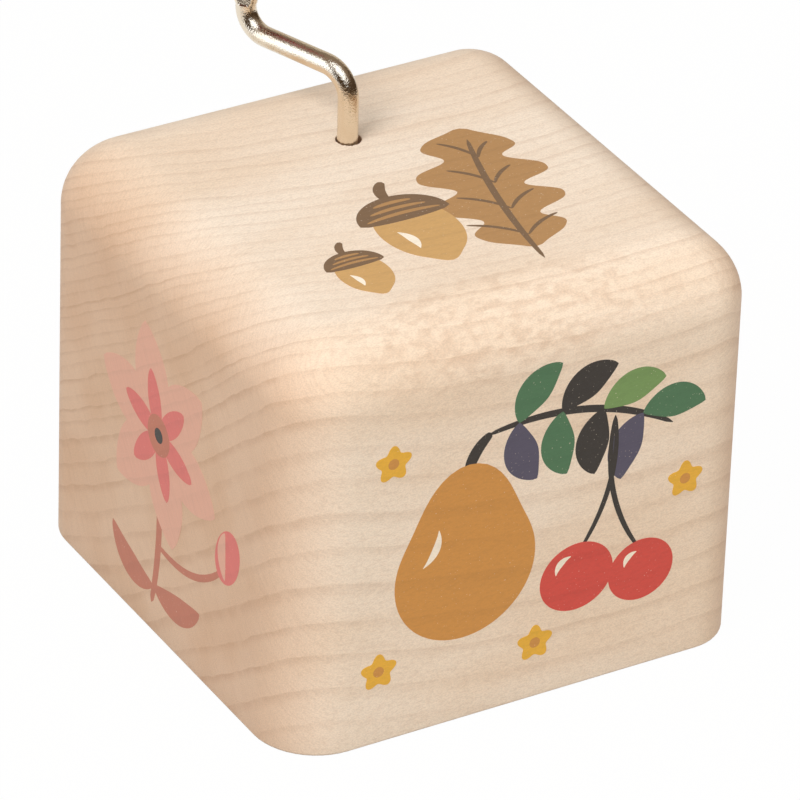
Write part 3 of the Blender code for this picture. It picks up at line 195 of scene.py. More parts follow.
class CrankSizes(bpy.types.PropertyGroup):
    """Sizes of the wire crank and its knob."""

    wire_radius: length_property("Wire radius", "Half the wire's thickness", 1.43 * MM)
    stub_radius: length_property("Stub radius", "Radius of the threaded end in the worm", 1.0 * MM)
    stub_length: length_property("Stub length", "Length of the threaded end", 5.0 * MM)
    rise: length_property("Rise", "Height of the arm's middle over the top", 10.0 * MM)
    low_bend: length_property("Low bend", "Radius of the bend over the hole", 3.9 * MM)
    high_bend: length_property("High bend", "Radius of the bend under the knob", 3.55 * MM)
    lean: length_property("Lean", "How far the riser leans to the left where the arm starts", 0.24 * MM)
    lift: length_property("Lift", "How much higher the arm's low end lies", 0.05 * MM)
    ear_foot: length_property("Ear foot", "Height of the pinched ears over the arm's middle", 4.1 * MM)
    ear_length: length_property("Ear length", "Length of the pinched ears", 2.1 * MM)
    ear_flat_share: FloatProperty(
        name="Ear flat", description="Half the ears' thickness as a share of the wire's radius", default=0.7,
    )
    ear_spread_share: FloatProperty(
        name="Ear spread", description="Width of the ears as a share of the wire's", default=1.16,
    )
    rivet_radius: length_property("Rivet radius", "Radius of the riveted end", 1.8 * MM)
    rivet_height: length_property("Rivet height", "Height of the riveted end", 0.9 * MM)
    knob_foot_radius: length_property("Knob foot radius", "Radius of the knob's two ends", 3.2 * MM)
    knob_bore: length_property("Knob bore", "Radius of the bore that turns on the grip", 1.65 * MM)
    knob_counterbore: length_property("Knob counterbore", "Radius of the hollow for the washer", 2.5 * MM)
    knob_rim: length_property("Knob rim", "Rounding of the knob's two rims", 0.35 * MM)
    lacquer: colour_property("Lacquer", "Colour of the knob", (0.56, 0.13, 0.11))


class StageLook(bpy.types.PropertyGroup):
    """Floor, lamps and surroundings."""

    key_power: FloatProperty(name="Key power", description="Watts of the low lamp in front", default=7.4)
    fill_power: FloatProperty(name="Fill power", description="Watts of the high left lamp", default=12.7)
    sky_strength: FloatProperty(name="Sky strength", description="Even light from all round", default=0.606)
    lamp_size: length_property("Lamp size", "Side of each soft lamp", 0.7)
    floor_size: length_property("Floor size", "Half the floor's width", 6.0)
    columns: IntProperty(name="Floor squares", description="Squares along the floor's side", default=4)


def linear(colour):
    """A screen colour as the linear colour that shaders take."""
    shown = np.array(colour[:], float)
    high = ((shown + SCREEN_OFFSET) / (1 + SCREEN_OFFSET)) ** SCREEN_POWER
    return (*np.where(shown <= SCREEN_TOE, shown / SCREEN_SLOPE, high).tolist(), 1.0)


def grid_faces(rows, columns, round_rows=False, round_columns=True):
    """Quads of a grid whose points are counted along each row. A round direction joins end to start."""
    row = np.arange(rows if round_rows else rows - 1)[:, None]
    column = np.arange(columns if round_columns else columns - 1)[None, :]
    next_row = (row + 1) % rows
    next_column = (column + 1) % columns
    corners = (
        row * columns + column, row * columns + next_column,
        next_row * columns + next_column, next_row * columns + column,
    )
    return np.stack(np.broadcast_arrays(*corners), axis=-1).reshape(-1, 4)


def fan_faces(ring, centre):
    """Triangles from each side of a ring of points to a centre point."""
    return np.stack((ring, np.roll(ring, -1), np.full(len(ring), centre)), axis=-1)


def new_piece(name, points, faces, body, materials, replaced=(), attributes=None, smooth=True):
    """Make a mesh object in place from arrays, smooth it unless it is flat, and hang it on its body."""
    data = bpy.data.meshes.new(name)
    corners = [face for part in faces for face in part.tolist()]
    data.from_pydata(np.asarray(points).reshape(-1, 3).tolist(), [], corners)
    for label, values in (attributes or {}).items():
        stored = data.attributes.new(label, "FLOAT", "POINT")
        stored.data.foreach_set("value", np.asarray(values, np.float32).ravel())
    for material in materials:
        data.materials.append(material)
    if smooth:
        data.shade_smooth()
        data.set_sharp_from_angle(angle=SHARP_EDGE)
    piece = bpy.data.objects.new(name, data)
    bpy.context.scene.collection.objects.link(piece)
    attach(piece, body)
    if replaced:
        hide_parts(*replaced)
    return piece


def rounded_rings(half_x, half_y, radii):
    """Rounded rectangles, one for each row: four corner arcs of their own radii, joined by straight sides.

    Every row has the same columns, anticlockwise from the middle of the corner at right back.
    """
    signs = np.array(((1, 1), (-1, 1), (-1, -1), (1, -1)), float)
    angle = np.arange(4)[:, None] * QUARTER_TURN + np.linspace(0, QUARTER_TURN, CORNER_COLUMNS + 1)
    half = np.stack(np.broadcast_arrays(half_x, half_y), axis=-1)
    centre = signs * (half[:, None, :] - radii[:, :, None])
    arc = np.stack((np.cos(angle), np.sin(angle)), axis=-1)
    corners = centre[:, :, None, :] + radii[:, :, None, None] * arc
    share = (np.arange(1, SIDE_COLUMNS) / SIDE_COLUMNS)[:, None]
    first = corners[:, :, -1:, :]
    second = np.roll(corners, -1, axis=1)[:, :, :1, :]
    sides = first + share * (second - first)
    return np.concatenate((corners, sides), axis=2).reshape(len(half), -1, 2)


def with_height(rings, heights):
    """Rings in the plane lifted to their heights."""
    lifted = np.broadcast_to(np.asarray(heights, float)[:, None, None], rings.shape[:2] + (1,))
    return np.concatenate((rings, lifted), axis=-1)


def upright(ring, heights):
    """One ring at several heights."""
    return with_height(np.repeat(ring[None], len(heights), axis=0), heights)


def level(first, second, shares, height):
    """Rings that run straight from one ring to another at one height."""
    rings = first + np.asarray(shares, float)[:, None, None] * (second - first)
    return with_height(rings, np.full(len(shares), height))


def even_ring(half_x, half_y, radius):
    """A single rounded rectangle whose corners are alike."""
    return rounded_rings(np.array([half_x]), np.array([half_y]), np.full((1, 4), radius))[0]


def ragged_circle(directions, centre, radius, raggedness):
    """A circle whose radius strays by a sum of sines of the angle, as torn fibres do."""
    angle = np.arctan2(directions[:, 1], directions[:, 0])
    waves = sum(np.sin(count * angle + start) for count, start in FIBRE_WAVES)
    towards_front = np.clip(-np.sin(angle + TORN_SIDE), 0, 1)
    reach = radius + raggedness * waves / len(FIBRE_WAVES) * (LEAST_TORN_SHARE + towards_front)
    return centre + np.stack((np.cos(angle), np.sin(angle)), axis=-1) * reach[:, None]


def block_surface(sizes):
    """The whole skin of the hollow block as one grid, closed both ways.

    A row is a rounded rectangle. Going up the rows, it climbs the eased foot and the sides, draws in over the
    top edge by radius times one minus cosine while it rises by radius times sine, shrinks across the flat top
    to the hole's circle, runs down the hole, opens out under the ceiling to the hollow's own rectangle, and
    comes down its walls, out along the ledge and down the rebate to the foot again.
    """
    half = (BLOCK_HIGH - BLOCK_LOW) / 2
    half_x = half.x - INK_PROUD
    half_y = half.y - INK_PROUD
    top = BLOCK_HIGH.z - INK_PROUD
    radii = np.array(sizes.corner_radii[:])
    ease = sizes.foot_radius
    edge = sizes.top_radius

    def outside(inset, rounding, heights):
        return with_height(rounded_rings(half_x - inset, half_y - inset, rounding), heights)

    turn = np.linspace(0, QUARTER_TURN, FOOT_ROWS)
    inset = ease * (1 - np.sin(turn))
    foot = outside(inset, radii - inset[:, None], ease * (1 - np.cos(turn)))

    heights = np.linspace(ease, top - edge, SIDE_ROWS)[1:]
    side = outside(np.zeros_like(heights), np.tile(radii, (len(heights), 1)), heights)

    turn = np.linspace(0, QUARTER_TURN, EDGE_ROWS)[1:]
    tightness = LEAST_CORNER_SHARE + (1 - LEAST_CORNER_SHARE) * np.cos(turn)
    over = outside(edge * (1 - np.cos(turn)), radii * tightness[:, None], top - edge + edge * np.sin(turn))

    centre = np.array(CRANK_AXIS.xy[:])
    rim_ring = over[-1][:, :2]
    directions = rim_ring - centre
    outer = ragged_circle(directions, centre, sizes.hole_radius + sizes.hole_chamfer, sizes.hole_raggedness)
    inner = ragged_circle(directions, centre, sizes.hole_radius, sizes.hole_raggedness / 2)
    bore = ragged_circle(directions, centre, sizes.hole_radius, 0)
    shares = np.sin(np.linspace(0, QUARTER_TURN, TOP_ROWS))[1:]
    flat = level(rim_ring, outer, shares, top)

    cavity_top = top - sizes.ceiling
    depths = np.array((sizes.hole_chamfer, 4 * sizes.hole_chamfer))
    lip = with_height(np.stack((inner, bore)), top - depths)
    hole = upright(bore, np.linspace(top - depths[-1], cavity_top, HOLE_ROWS)[1:])

    cavity_x = half.x - sizes.wall
    cavity_y = half.y - sizes.wall
    hollow = even_ring(cavity_x, cavity_y, sizes.cavity_radius)
    ceiling = level(bore, hollow, np.linspace(0, 1, CEILING_ROWS)[1:], cavity_top)

    ledge_z = PLATE_HIGH.z + sizes.seat_gap
    walls = upright(hollow, np.linspace(cavity_top, ledge_z, WALL_ROWS)[1:])

    rebate_x = PLATE_HIGH.x + sizes.plate_fit
    rebate_y = PLATE_HIGH.y + sizes.plate_fit
    rebate = even_ring(rebate_x, rebate_y, sizes.cavity_radius + rebate_x - cavity_x)
    ledge = level(hollow, rebate, (1 / 2, 1), ledge_z)
    mouth = upright(rebate, (ledge_z / 2, BLOCK_LOW.z))
    rim = level(rebate, foot[0][:, :2], (1 / 2,), BLOCK_LOW.z)
    return np.concatenate((foot, side, over, flat, lip, hole, ceiling, walls, ledge, mouth, rim))


def grid_normals(points):
    """Unit normals of a grid that is closed both ways, from the cross product of its two neighbour steps."""
    along_row = np.roll(points, -1, axis=1) - np.roll(points, 1, axis=1)
    along_column = np.roll(points, -1, axis=0) - np.roll(points, 1, axis=0)
    normal = np.cross(along_row, along_column)
    return normal / np.maximum(np.linalg.norm(normal, axis=-1, keepdims=True), TINY)


def make_block(sizes, wood):
    """The maple block, with the share of end grain that each point shows kept as an attribute."""
    points = block_surface(sizes)
    end_grain = np.abs(grid_normals(points)[..., 0]) ** END_GRAIN_POWER
    faces = grid_faces(len(points), points.shape[1], round_rows=True)
    return new_piece(
        "maple_block", points, [faces], "case", [maple_material(wood)], replaced=["block_shell"],
        attributes={"end_grain": end_grain},
    )


# Flat printed shapes, worked out in the face's own plane: across, then up, in millimetres

def leaf(root, tip, bow, width, fullness=1.0, lobes=0, lobe_share=0.0):
    """A leaf: its spine runs from root to tip and bows sideways by a parabola.

    Its half width is a power of the sine of the way along, cut in between the lobes by a power of the cosine.
    """
    way = np.linspace(0, 1, LEAF_ROWS * (1 + lobes))
    root = np.array(root, float)
    chord = np.array(tip, float) - root
    side = np.array((-chord[1], chord[0]))
    spine = root + way[:, None] * chord + (4 * bow * way * (1 - way))[:, None] * side
    step = np.gradient(spine, axis=0)
    step = step / np.linalg.norm(step, axis=1, keepdims=True)
    across = np.stack((step[:, 1], -step[:, 0]), axis=-1)
    cut_in = 1 - lobe_share * np.abs(np.cos(math.pi * lobes * way)) ** NOTCH_POWER
    half = width / 2 * np.sin(math.pi * way) ** fullness * (cut_in if lobes else 1) + BLUNT_TIP / MM
    share = np.linspace(-1, 1, LEAF_COLUMNS)
    points = spine[:, None, :] + across[:, None, :] * half[:, None, None] * share[None, :, None]
    return points.reshape(-1, 2), [grid_faces(len(way), LEAF_COLUMNS, round_columns=False)]


def disc(centre, radius_at):
    """A round shape: rings drawn in to its centre from its outline, whose radius follows the angle."""
    angle = np.arange(DISC_COLUMNS) * FULL_TURN / DISC_COLUMNS
    outline = np.stack((np.cos(angle), np.sin(angle)), axis=-1) * radius_at(angle)[:, None]
    share = 1 - np.arange(DISC_ROWS) / DISC_ROWS
    rings = np.array(centre, float) + outline[None] * share[:, None, None]
    points = np.concatenate((rings.reshape(-1, 2), [centre]))
    last = np.arange(DISC_COLUMNS) + (DISC_ROWS - 1) * DISC_COLUMNS
    return points, [grid_faces(DISC_ROWS, DISC_COLUMNS), fan_faces(last, len(points) - 1)]


def oval(centre, across, up, lean=0.0):
    """An ellipse of two half sizes, turned by an angle."""
    def radius_at(angle):
        turned = angle - lean
        return across * up / np.hypot(up * np.cos(turned), across * np.sin(turned))
    return disc(centre, radius_at)


def blossom(centre, radius, count, depth, turn=0.0):
    """A flower: a circle whose radius swells by a cosine once for each petal."""
    return disc(centre, lambda angle: radius * (1 + depth * np.cos(count * (angle - turn))))


def pear(centre, radius):
    """A pear: a circle that swells towards its top by a power of the sine."""
    def radius_at(angle):
        upward = np.clip(np.sin(angle), 0, 1)
        return radius * (1 + PEAR_NECK_SHARE * upward ** PEAR_NECK_POWER)
    return disc(centre, radius_at)


def nut(centre, across, up):
    """An acorn's nut: an ellipse with a small point at its foot."""
    def radius_at(angle):
        ellipse = across * up / np.hypot(up * np.cos(angle), across * np.sin(angle))
        return ellipse * (1 + NUT_POINT_SHARE * np.clip(-np.sin(angle), 0, 1) ** NUT_POINT_POWER)
    return disc(centre, radius_at)


def cup(centre, across, up):
    """An acorn's cup: a dome above, a shallow curve below."""
    def radius_at(angle):
        height = np.where(np.sin(angle) > 0, up, up * CUP_LIP_SHARE)
        return across * height / np.hypot(height * np.cos(angle), across * np.sin(angle))
    return disc(centre, radius_at)


def front_print():
    """A pear under a leafy branch, two cherries and small blossoms, as (ink, shape) from the lowest up."""
    shapes = [("black", leaf(BRANCH_ROOT, BRANCH_TIP, BRANCH_BOW, 1.0, 0.3))]
    root, tip = np.array(BRANCH_ROOT), np.array(BRANCH_TIP)
    chord = tip - root
    square = np.array((-chord[1], chord[0]))
    for index, ink in enumerate(BRANCH_INKS):
        way = (index // 2 + BRANCH_STEM_SHARE) / (len(BRANCH_INKS) / 2 + BRANCH_END_SHARE)
        foot = root + way * chord + 4 * BRANCH_BOW * way * (1 - way) * square
        lean, change, length, bow = BRANCH_LEAVES[index % 2]
        lean = math.radians(lean + change * index)
        end = foot + length * np.array((math.cos(lean), math.sin(lean)))
        shapes.append((ink, leaf(foot, end, bow, *BRANCH_LEAF_FORM)))
    shapes += [
        ("black", leaf((-9.2, 37.6), (-5.8, 43.6), 0.12, 1.7, 0.3)),
        ("mustard", pear((-9.0, 23.6), 10.6)),
        ("cream", leaf((-15.4, 25.6), (-13.2, 30.8), -0.14, 1.1)),
        ("black", leaf((8.4, 21.2), (13.0, 41.0), -0.10, 0.7, 0.3)),
        ("black", leaf((17.8, 19.0), (13.0, 41.0), 0.10, 0.7, 0.3)),
        ("red", oval((8.2, 17.4), 5.6, 5.2)),
        ("red", oval((18.2, 15.6), 5.0, 4.7)),
        ("cream", leaf((5.0, 18.4), (7.2, 20.8), 0.2, 0.9)),
        ("cream", leaf((15.6, 16.6), (17.4, 18.6), 0.2, 0.8)),
    ]
    for centre in ((-20.4, 43.0), (-21.6, 11.4), (24.4, 28.0), (2.2, 8.8)):
        shapes.append(("yellow", blossom(centre, 2.3, 5, 0.2, QUARTER_TURN)))
        shapes.append(("mustard", oval(centre, 0.8, 0.8)))
    return shapes


def petals(heart, count, turn, length, width, fullness):
    """Petals all round a heart, as shapes."""
    angles = FULL_TURN * (np.arange(count) + turn) / count + QUARTER_TURN
    tips = np.array(heart) + length * np.stack((np.cos(angles), np.sin(angles)), axis=-1)
    return [leaf(heart, tip, 0.0, width, fullness) for tip in tips]


def side_print():
    """One large open flower with two leaves and a bud, as (ink, shape) from the lowest up."""
    heart = (-1.0, 31.5)
    shapes = [
        ("chestnut", leaf((-1.0, 26.0), (-2.4, 4.6), 0.05, 1.4, 0.2)),
        ("chestnut", leaf((-2.0, 7.4), (-13.4, 11.6), 0.18, 4.4, 0.7)),
        ("chestnut", leaf((-1.9, 7.6), (10.8, 10.2), -0.12, 4.2, 0.7)),
        ("chestnut", leaf((-1.3, 14.6), (16.8, 20.6), -0.14, 1.0, 0.2)),
        ("rose", oval((18.0, 23.2), 3.0, 4.6, -0.4)),
        ("pink", leaf((17.4, 19.4), (17.2, 26.6), 0.12, 2.0, 0.7)),
    ]
    shapes += [("pink", shape) for shape in petals(heart, 6, 1 / 4, 16.0, 9.0, 0.75)]
    shapes += [("rose", shape) for shape in petals(heart, 6, 1 / 4, 9.4, 3.4, 0.6)]
    shapes.append(("chestnut", oval(heart, 3.0, 3.0)))
    shapes.append(("black", oval(heart, 1.1, 1.1)))
    return shapes


def acorn(centre, size):
    """An acorn with its cup, stalk and highlight, as (ink, shape) from the lowest up."""
    def at(across, up):
        return np.array(centre) + size * np.array((across, up))

    shapes = [
        ("umber", leaf(at(0, 6.6), at(1.3, 10.4), 0.15, 1.3 * size, 0.3)),
        ("amber", nut(centre, 4.6 * size, 6.4 * size)),
        ("umber", cup(at(0, 3.0), 5.5 * size, 4.4 * size)),
        ("cream", leaf(at(-2.5, 1 / 3), at(-1.9, -3.6), 0.12, size)),
    ]
    for reach, height in CUP_ROWS:
        shapes.append(("ochre", leaf(at(-reach, height), at(reach, height), 0.05, size / 2, 0.4)))
    return shapes


def top_print():
    """An oak leaf with two acorns, as (ink, shape) from the lowest up."""
    root, tip = np.array((8.0, -21.8)), np.array((14.6, 9.4))
    shapes = [
        ("ochre", leaf(root, tip, 0.03, 18.5, 0.45, 4, 0.5)),
        ("umber", leaf(root - (0.6, 3.0), tip - (0.6, 3.0), 0.03, 0.9, 0.3)),
    ]
    for index in range(VEIN_PAIRS):
        foot = root + (tip - root) * (index + VEIN_START_SHARE) / (VEIN_PAIRS + VEIN_END_SHARE)
        for side in (-1, 1):
            end = foot + np.array((side * (VEIN_REACH - index), VEIN_RISE - side * VEIN_SLANT))
            shapes.append(("umber", leaf(foot, end, side * 0.08, 0.5, 0.4)))
    return shapes + acorn((-3.4, -11.0), 1.22) + acorn((-15.4, -17.6), 0.78)


def make_print(name, origin, across, up, shapes, look):
    """Lay flat shapes on a face, each a share of the ink's thickness over the last, and give them a wall."""
    outward = across.cross(up)
    inks = list(dict.fromkeys(ink for ink, _ in shapes))
    points, faces, owners, count = [], [], [], 0
    for index, (ink, (flat, parts)) in enumerate(shapes):
        lift = INK_PROUD * (index + 1) / len(shapes) - INK_PROUD
        placed = np.array(origin) + np.array(outward) * lift
        points.append(placed + (flat[:, :1] * np.array(across) + flat[:, 1:] * np.array(up)) * MM)
        for part in parts:
            faces.append(part + count)
            owners.append(np.full(len(part), inks.index(ink)))
        count += len(flat)
    materials = [ink_material(ink, getattr(look, ink)) for ink in inks]
    piece = new_piece(name, np.concatenate(points), faces, "case", materials, smooth=False)
    piece.data.polygons.foreach_set("material_index", np.concatenate(owners).astype(np.int32))
    wall = piece.modifiers.new("Ink thickness", "SOLIDIFY")
    wall.thickness = INK_PROUD + INK_SUNK
    wall.offset = -1
    return piece


def make_prints(look):
    """The three printed faces that the photograph shows."""
    half = (BLOCK_HIGH - BLOCK_LOW) / 2
    right, back, up = Vector((1, 0, 0)), Vector((0, 1, 0)), Vector((0, 0, 1))
    make_print("print_front", Vector((0, -half.y, 0)), right, up, front_print(), look)
    make_print("print_side", Vector((-half.x, 0, 0)), -back, up, side_print(), look)
    make_print("print_top", Vector((0, 0, BLOCK_HIGH.z)), right, back, top_print(), look)


def filleted_path(corners, radii, row_counts):
    """Points along straight runs whose corners are rounded by arcs, each of its own radius.

    An arc starts the radius times the tangent of half its angle before its corner. Its points are the start
    plus the radius times (sine along the way in, one minus cosine towards the way out).
    """
    runs = []
    start = corners[0]
    ways = np.diff(corners, axis=0)
    ways = ways / np.linalg.norm(ways, axis=1, keepdims=True)
    for corner, radius, into, away, rows in zip(corners[1:], radii, ways, ways[1:], row_counts):
        bend = math.acos(float(into @ away))
        reach = radius * math.tan(bend / 2)
        inward = (away - into * math.cos(bend)) / math.sin(bend)
        first = corner - into * reach
        angle = np.linspace(0, bend, BEND_ROWS)[:, None]
        runs.append(np.linspace(start, first, rows)[:-1])
        runs.append(first + radius * (np.sin(angle) * into + (1 - np.cos(angle)) * inward))
        start = corner + away * reach
    runs.append(np.linspace(start, corners[-1], row_counts[-1])[1:])
    return np.concatenate(runs)


def tube(path, sides, across, section):
    """A section carried along a path, with a fan over each end.

    Each row's frame is the reference direction made square to the path, and the path's cross product with it.
    The section gives two coordinates for each row and angle.
    """
    along = np.gradient(path, axis=0)
    along = along / np.linalg.norm(along, axis=1, keepdims=True)
    first = across - (along @ across)[:, None] * along
    first = first / np.linalg.norm(first, axis=1, keepdims=True)
    second = np.cross(along, first)
    angle = np.arange(sides) * FULL_TURN / sides
    one, two = section(angle)
    rings = path[:, None] + one[..., None] * first[:, None] + two[..., None] * second[:, None]
    points = np.concatenate((rings.reshape(-1, 3), path[:1], path[-1:]))
    count = len(path) * sides
    foot = np.arange(sides)
    top = foot + count - sides
    return points, [grid_faces(len(path), sides), fan_faces(foot[::-1], count), fan_faces(top, count + 1)]


def make_crank(sizes):
    """The bent wire: stub, riser, low bend, arm, high bend, pinched ears, grip and riveted end."""
    arm_z = BLOCK_HIGH.z + sizes.rise
    corners = np.array((
        (CRANK_AXIS.x, CRANK_AXIS.y, WIRE_LOW.z),
        (CRANK_AXIS.x - sizes.lean, CRANK_AXIS.y, arm_z + sizes.lift),
        (KNOB_AXIS.x, KNOB_AXIS.y, arm_z),
        (KNOB_AXIS.x, KNOB_AXIS.y, WIRE_HIGH.z),
    ))
    path = filleted_path(corners, (sizes.low_bend, sizes.high_bend), (RISER_ROWS, ARM_ROWS, GRIP_ROWS))
    height = path[:, 2]
    on_grip = np.arange(len(path)) >= len(path) - GRIP_ROWS
    radius = np.full(len(path), sizes.wire_radius)
    shoulder = WIRE_LOW.z + sizes.stub_length
    radius = np.where(height < shoulder, sizes.stub_radius, radius)
    rivet_foot = WIRE_HIGH.z - sizes.rivet_height
    crown = np.clip((height - rivet_foot) / sizes.rivet_height, 0, 1)
    domed = sizes.rivet_radius * np.sqrt(np.clip(1 - (RIVET_CROWN_SHARE * crown) ** 2, 0, 1))
    radius = np.where(on_grip & (height > rivet_foot), domed, radius)
    foot = arm_z + sizes.ear_foot
    top = foot + sizes.ear_length
    rises = np.clip((height - foot) / (EAR_SLOPE_SHARE * sizes.ear_length), 0, 1)
    falls = np.clip((top - height) / (EAR_END_SHARE * sizes.ear_length), 0, 1)
    within = on_grip & (height > foot) & (height < top)
    pinch = np.where(within, EAR_STEP_SHARE + (1 - EAR_STEP_SHARE) * rises, 0) * np.clip(falls, 0, 1)

    def section(angle):
        limit = radius * (1 - (1 - sizes.ear_flat_share) * pinch)
        one = np.clip(radius[:, None] * np.cos(angle), -limit[:, None], limit[:, None])
        two = radius[:, None] * np.sin(angle) * (1 + (sizes.ear_spread_share - 1) * pinch)[:, None]
        return one, two

    arm = corners[2] - corners[1]
    facing = EAR_FACING + math.atan2(-arm[0], arm[1])
    across = np.array((math.cos(facing), math.sin(facing), 0))
    points, faces = tube(path, WIRE_COLUMNS, across, section)
    return new_piece(
        "bent_wire", points, faces, "crank", [metal_material("nickel_plate")], replaced=["crank_wire"],
    )


def turned_ring(name, profile, axis, body, material, replaced):
    """A closed profile of (radius, height) turned about an upright axis. It has no poles."""
    radius, height = np.array(profile, float).T
    angle = np.arange(KNOB_COLUMNS) * FULL_TURN / KNOB_COLUMNS
    points = np.stack(np.broadcast_arrays(
        axis.x + radius[:, None] * np.cos(angle), axis.y + radius[:, None] * np.sin(angle), height[:, None],
    ), axis=-1)
    faces = grid_faces(len(radius), KNOB_COLUMNS, round_rows=True)
    return new_piece(name, points, [faces], body, [material], replaced=[replaced])


def make_knob(sizes):
    """The turned knob: its side swells by the sine of the way up, with the widest place above the middle."""
    foot, top = KNOB_LOW.z, KNOB_HIGH.z
    belly = (KNOB_HIGH.x - KNOB_LOW.x) / 2
    rim = sizes.knob_rim
    ends = sizes.knob_foot_radius
    way = np.linspace(0, 1, KNOB_COLUMNS)
    swell = np.sin(math.pi * way ** KNOB_BELLY_POWER) ** KNOB_FULLNESS
    side = np.stack((ends + (belly - ends) * swell, foot + rim + (top - foot - 2 * rim) * way), axis=-1)
    turn = np.linspace(0, QUARTER_TURN, FOOT_ROWS)[:-1]
    low_rim = np.stack((ends - rim * (1 - np.sin(turn)), foot + rim * (1 - np.cos(turn))), axis=-1)
    high_rim = np.stack((ends - rim * (1 - np.cos(turn)), top - rim * (1 - np.sin(turn))), axis=-1)[1:]
    floor = WASHER_LOW.z - sizes.knob_rim / 2
    hollow = [
        (ends - rim, top), (sizes.knob_counterbore + rim / 2, top), (sizes.knob_counterbore, top - rim / 2),
        (sizes.knob_counterbore, floor), (sizes.knob_bore, floor), (sizes.knob_bore, foot + rim / 2),
        (sizes.knob_bore + rim / 2, foot),
    ]
    profile = np.concatenate((low_rim, side, high_rim, hollow))
    lacquer = lacquer_material(sizes.lacquer)
    turned_ring("turned_knob", profile, KNOB_AXIS, "knob", lacquer, "crank_knob")
    outer = (WASHER_HIGH.x - WASHER_LOW.x) / 2
    inner = sizes.knob_bore - WASHER_PLAY
    low, high = WASHER_LOW.z, WASHER_HIGH.z
    ease = (high - low) / 4
    washer = [
        (outer - ease, low), (outer, low + ease), (outer, high - ease), (outer - ease, high),
        (inner + ease, high), (inner, high - ease), (inner, low + ease), (inner + ease, low),
    ]
    nickel = metal_material("nickel_plate")
    turned_ring("grip_washer", washer, KNOB_AXIS, "crank", nickel, "knob_washer")


# Shader nodes

class Flow:
    """A node's output. Arithmetic on it adds a node to its tree."""

    def __init__(self, socket):
        self.socket = socket
        self.tree = socket.id_data

    def __add__(self, other):
        return maths("ADD", self, other)

    def __sub__(self, other):
        return maths("SUBTRACT", self, other)

    def __rsub__(self, other):
        return maths("SUBTRACT", other, self)

    def __mul__(self, other):
        return maths("MULTIPLY", self, other)

    def __truediv__(self, other):
        return maths("DIVIDE", self, other)

    def __rtruediv__(self, other):
        return maths("DIVIDE", other, self)

    __radd__ = __add__


def fill(socket, value):
    """Link an input to another node's output, or give it a plain value."""
    if isinstance(value, Flow):
        value.tree.links.new(value.socket, socket)
    else:
        socket.default_value = value


def add(tree, kind, inputs=None, **settings):
    """A new node with its settings made and its inputs filled by name or number."""
    made = tree.nodes.new(kind)
    for name, value in settings.items():
        setattr(made, name, value)
    for key, value in (inputs or {}).items():
        fill(made.inputs[key], value)
    return made


def flow(tree, kind, inputs=None, output=0, **settings):
    """One output of a new node."""
    return Flow(add(tree, kind, inputs, **settings).outputs[output])


def flows(node):
    """All of a node's outputs by name."""
    return {socket.name: Flow(socket) for socket in node.outputs}


def tree_of(*values):
    """The tree of the first value that comes from a node."""
    return next(value.tree for value in values if isinstance(value, Flow))


def maths(operation, *values):
    """One step of arithmetic."""
    return flow(tree_of(*values), "ShaderNodeMath", dict(enumerate(values)), operation=operation)


def vector_maths(operation, *values, output=0):
    """One step of arithmetic with positions."""
    inputs = dict(enumerate(values))
    return flow(tree_of(*values), "ShaderNodeVectorMath", inputs, output, operation=operation)


def from_centre(position, centre, stretch):
    """A position seen from a centre, with each of its coordinates multiplied."""
    return vector_maths("MULTIPLY", vector_maths("SUBTRACT", position, centre), stretch)


def parts(position):
    """A position's three coordinates."""
    return list(flows(add(position.tree, "ShaderNodeSeparateXYZ", {0: position})).values())


def joined(*coordinates):
    """A position from its coordinates."""
    return flow(tree_of(*coordinates), "ShaderNodeCombineXYZ", dict(enumerate(coordinates)))


def noise(position, stretch, detail):
    """Smooth noise with features about one unit across, in a position whose coordinates are multiplied."""
    place = vector_maths("MULTIPLY", position, stretch)
    return flow(position.tree, "ShaderNodeTexNoise", {"Vector": place, "Scale": 1.0, "Detail": detail}, "Fac")


def swing(position, stretch, detail):
    """Noise that swings about nought."""
    return noise(position, stretch, detail) - NOISE_MEAN


def ranged(value, low, high, to_low=0.0, to_high=1.0):
    """A value carried smoothly from one range to another, and held outside it."""
    inputs = {"Value": value, "From Min": low, "From Max": high, "To Min": to_low, "To Max": to_high}
    return flow(value.tree, "ShaderNodeMapRange", inputs, "Result", interpolation_type="SMOOTHSTEP")


def marks(position, look, to_low=0.0, to_high=1.0):
    """Marks where a noise is high. The look is its stretch, detail and the range the marks rise over."""
    stretch, detail, low, high = look
    return ranged(noise(position, stretch, detail), low, high, to_low, to_high)


def mixed(share, first, second, blend="MIX"):
    """Two colours mixed by a share."""
    inputs = {0: share, 6: first, 7: second}
    return flow(tree_of(share, first), "ShaderNodeMix", inputs, 2, data_type="RGBA", blend_type=blend)


def shaded(colour, brightness):
    """A colour times a brightness."""
    tone = flow(colour.tree, "ShaderNodeCombineColor", {0: brightness, 1: brightness, 2: brightness})
    return mixed(1.0, colour, tone, "MULTIPLY")


def new_group(name, inputs, outputs):
    """An empty node group whose sockets have names and defaults. It gives both sides of it by name."""
    tree = bpy.data.node_groups.new(name, "ShaderNodeTree")
    for direction, sockets in (("INPUT", inputs), ("OUTPUT", outputs)):
        for label, default in sockets.items():
            kind = SOCKET_KINDS[np.size(default)]
            tree.interface.new_socket(label, in_out=direction, socket_type=kind).default_value = default
    return flows(add(tree, "NodeGroupInput")), add(tree, "NodeGroupOutput").inputs


def placed_group(name, position, **inputs):
    """A node group placed in a position's tree, its inputs filled by name with underscores for spaces."""
    node = add(position.tree, "ShaderNodeGroup", {"Position": position}, node_tree=bpy.data.node_groups[name])
    for key, value in inputs.items():
        fill(node.inputs[key.replace("_", " ").capitalize()], value)
    return flows(node)


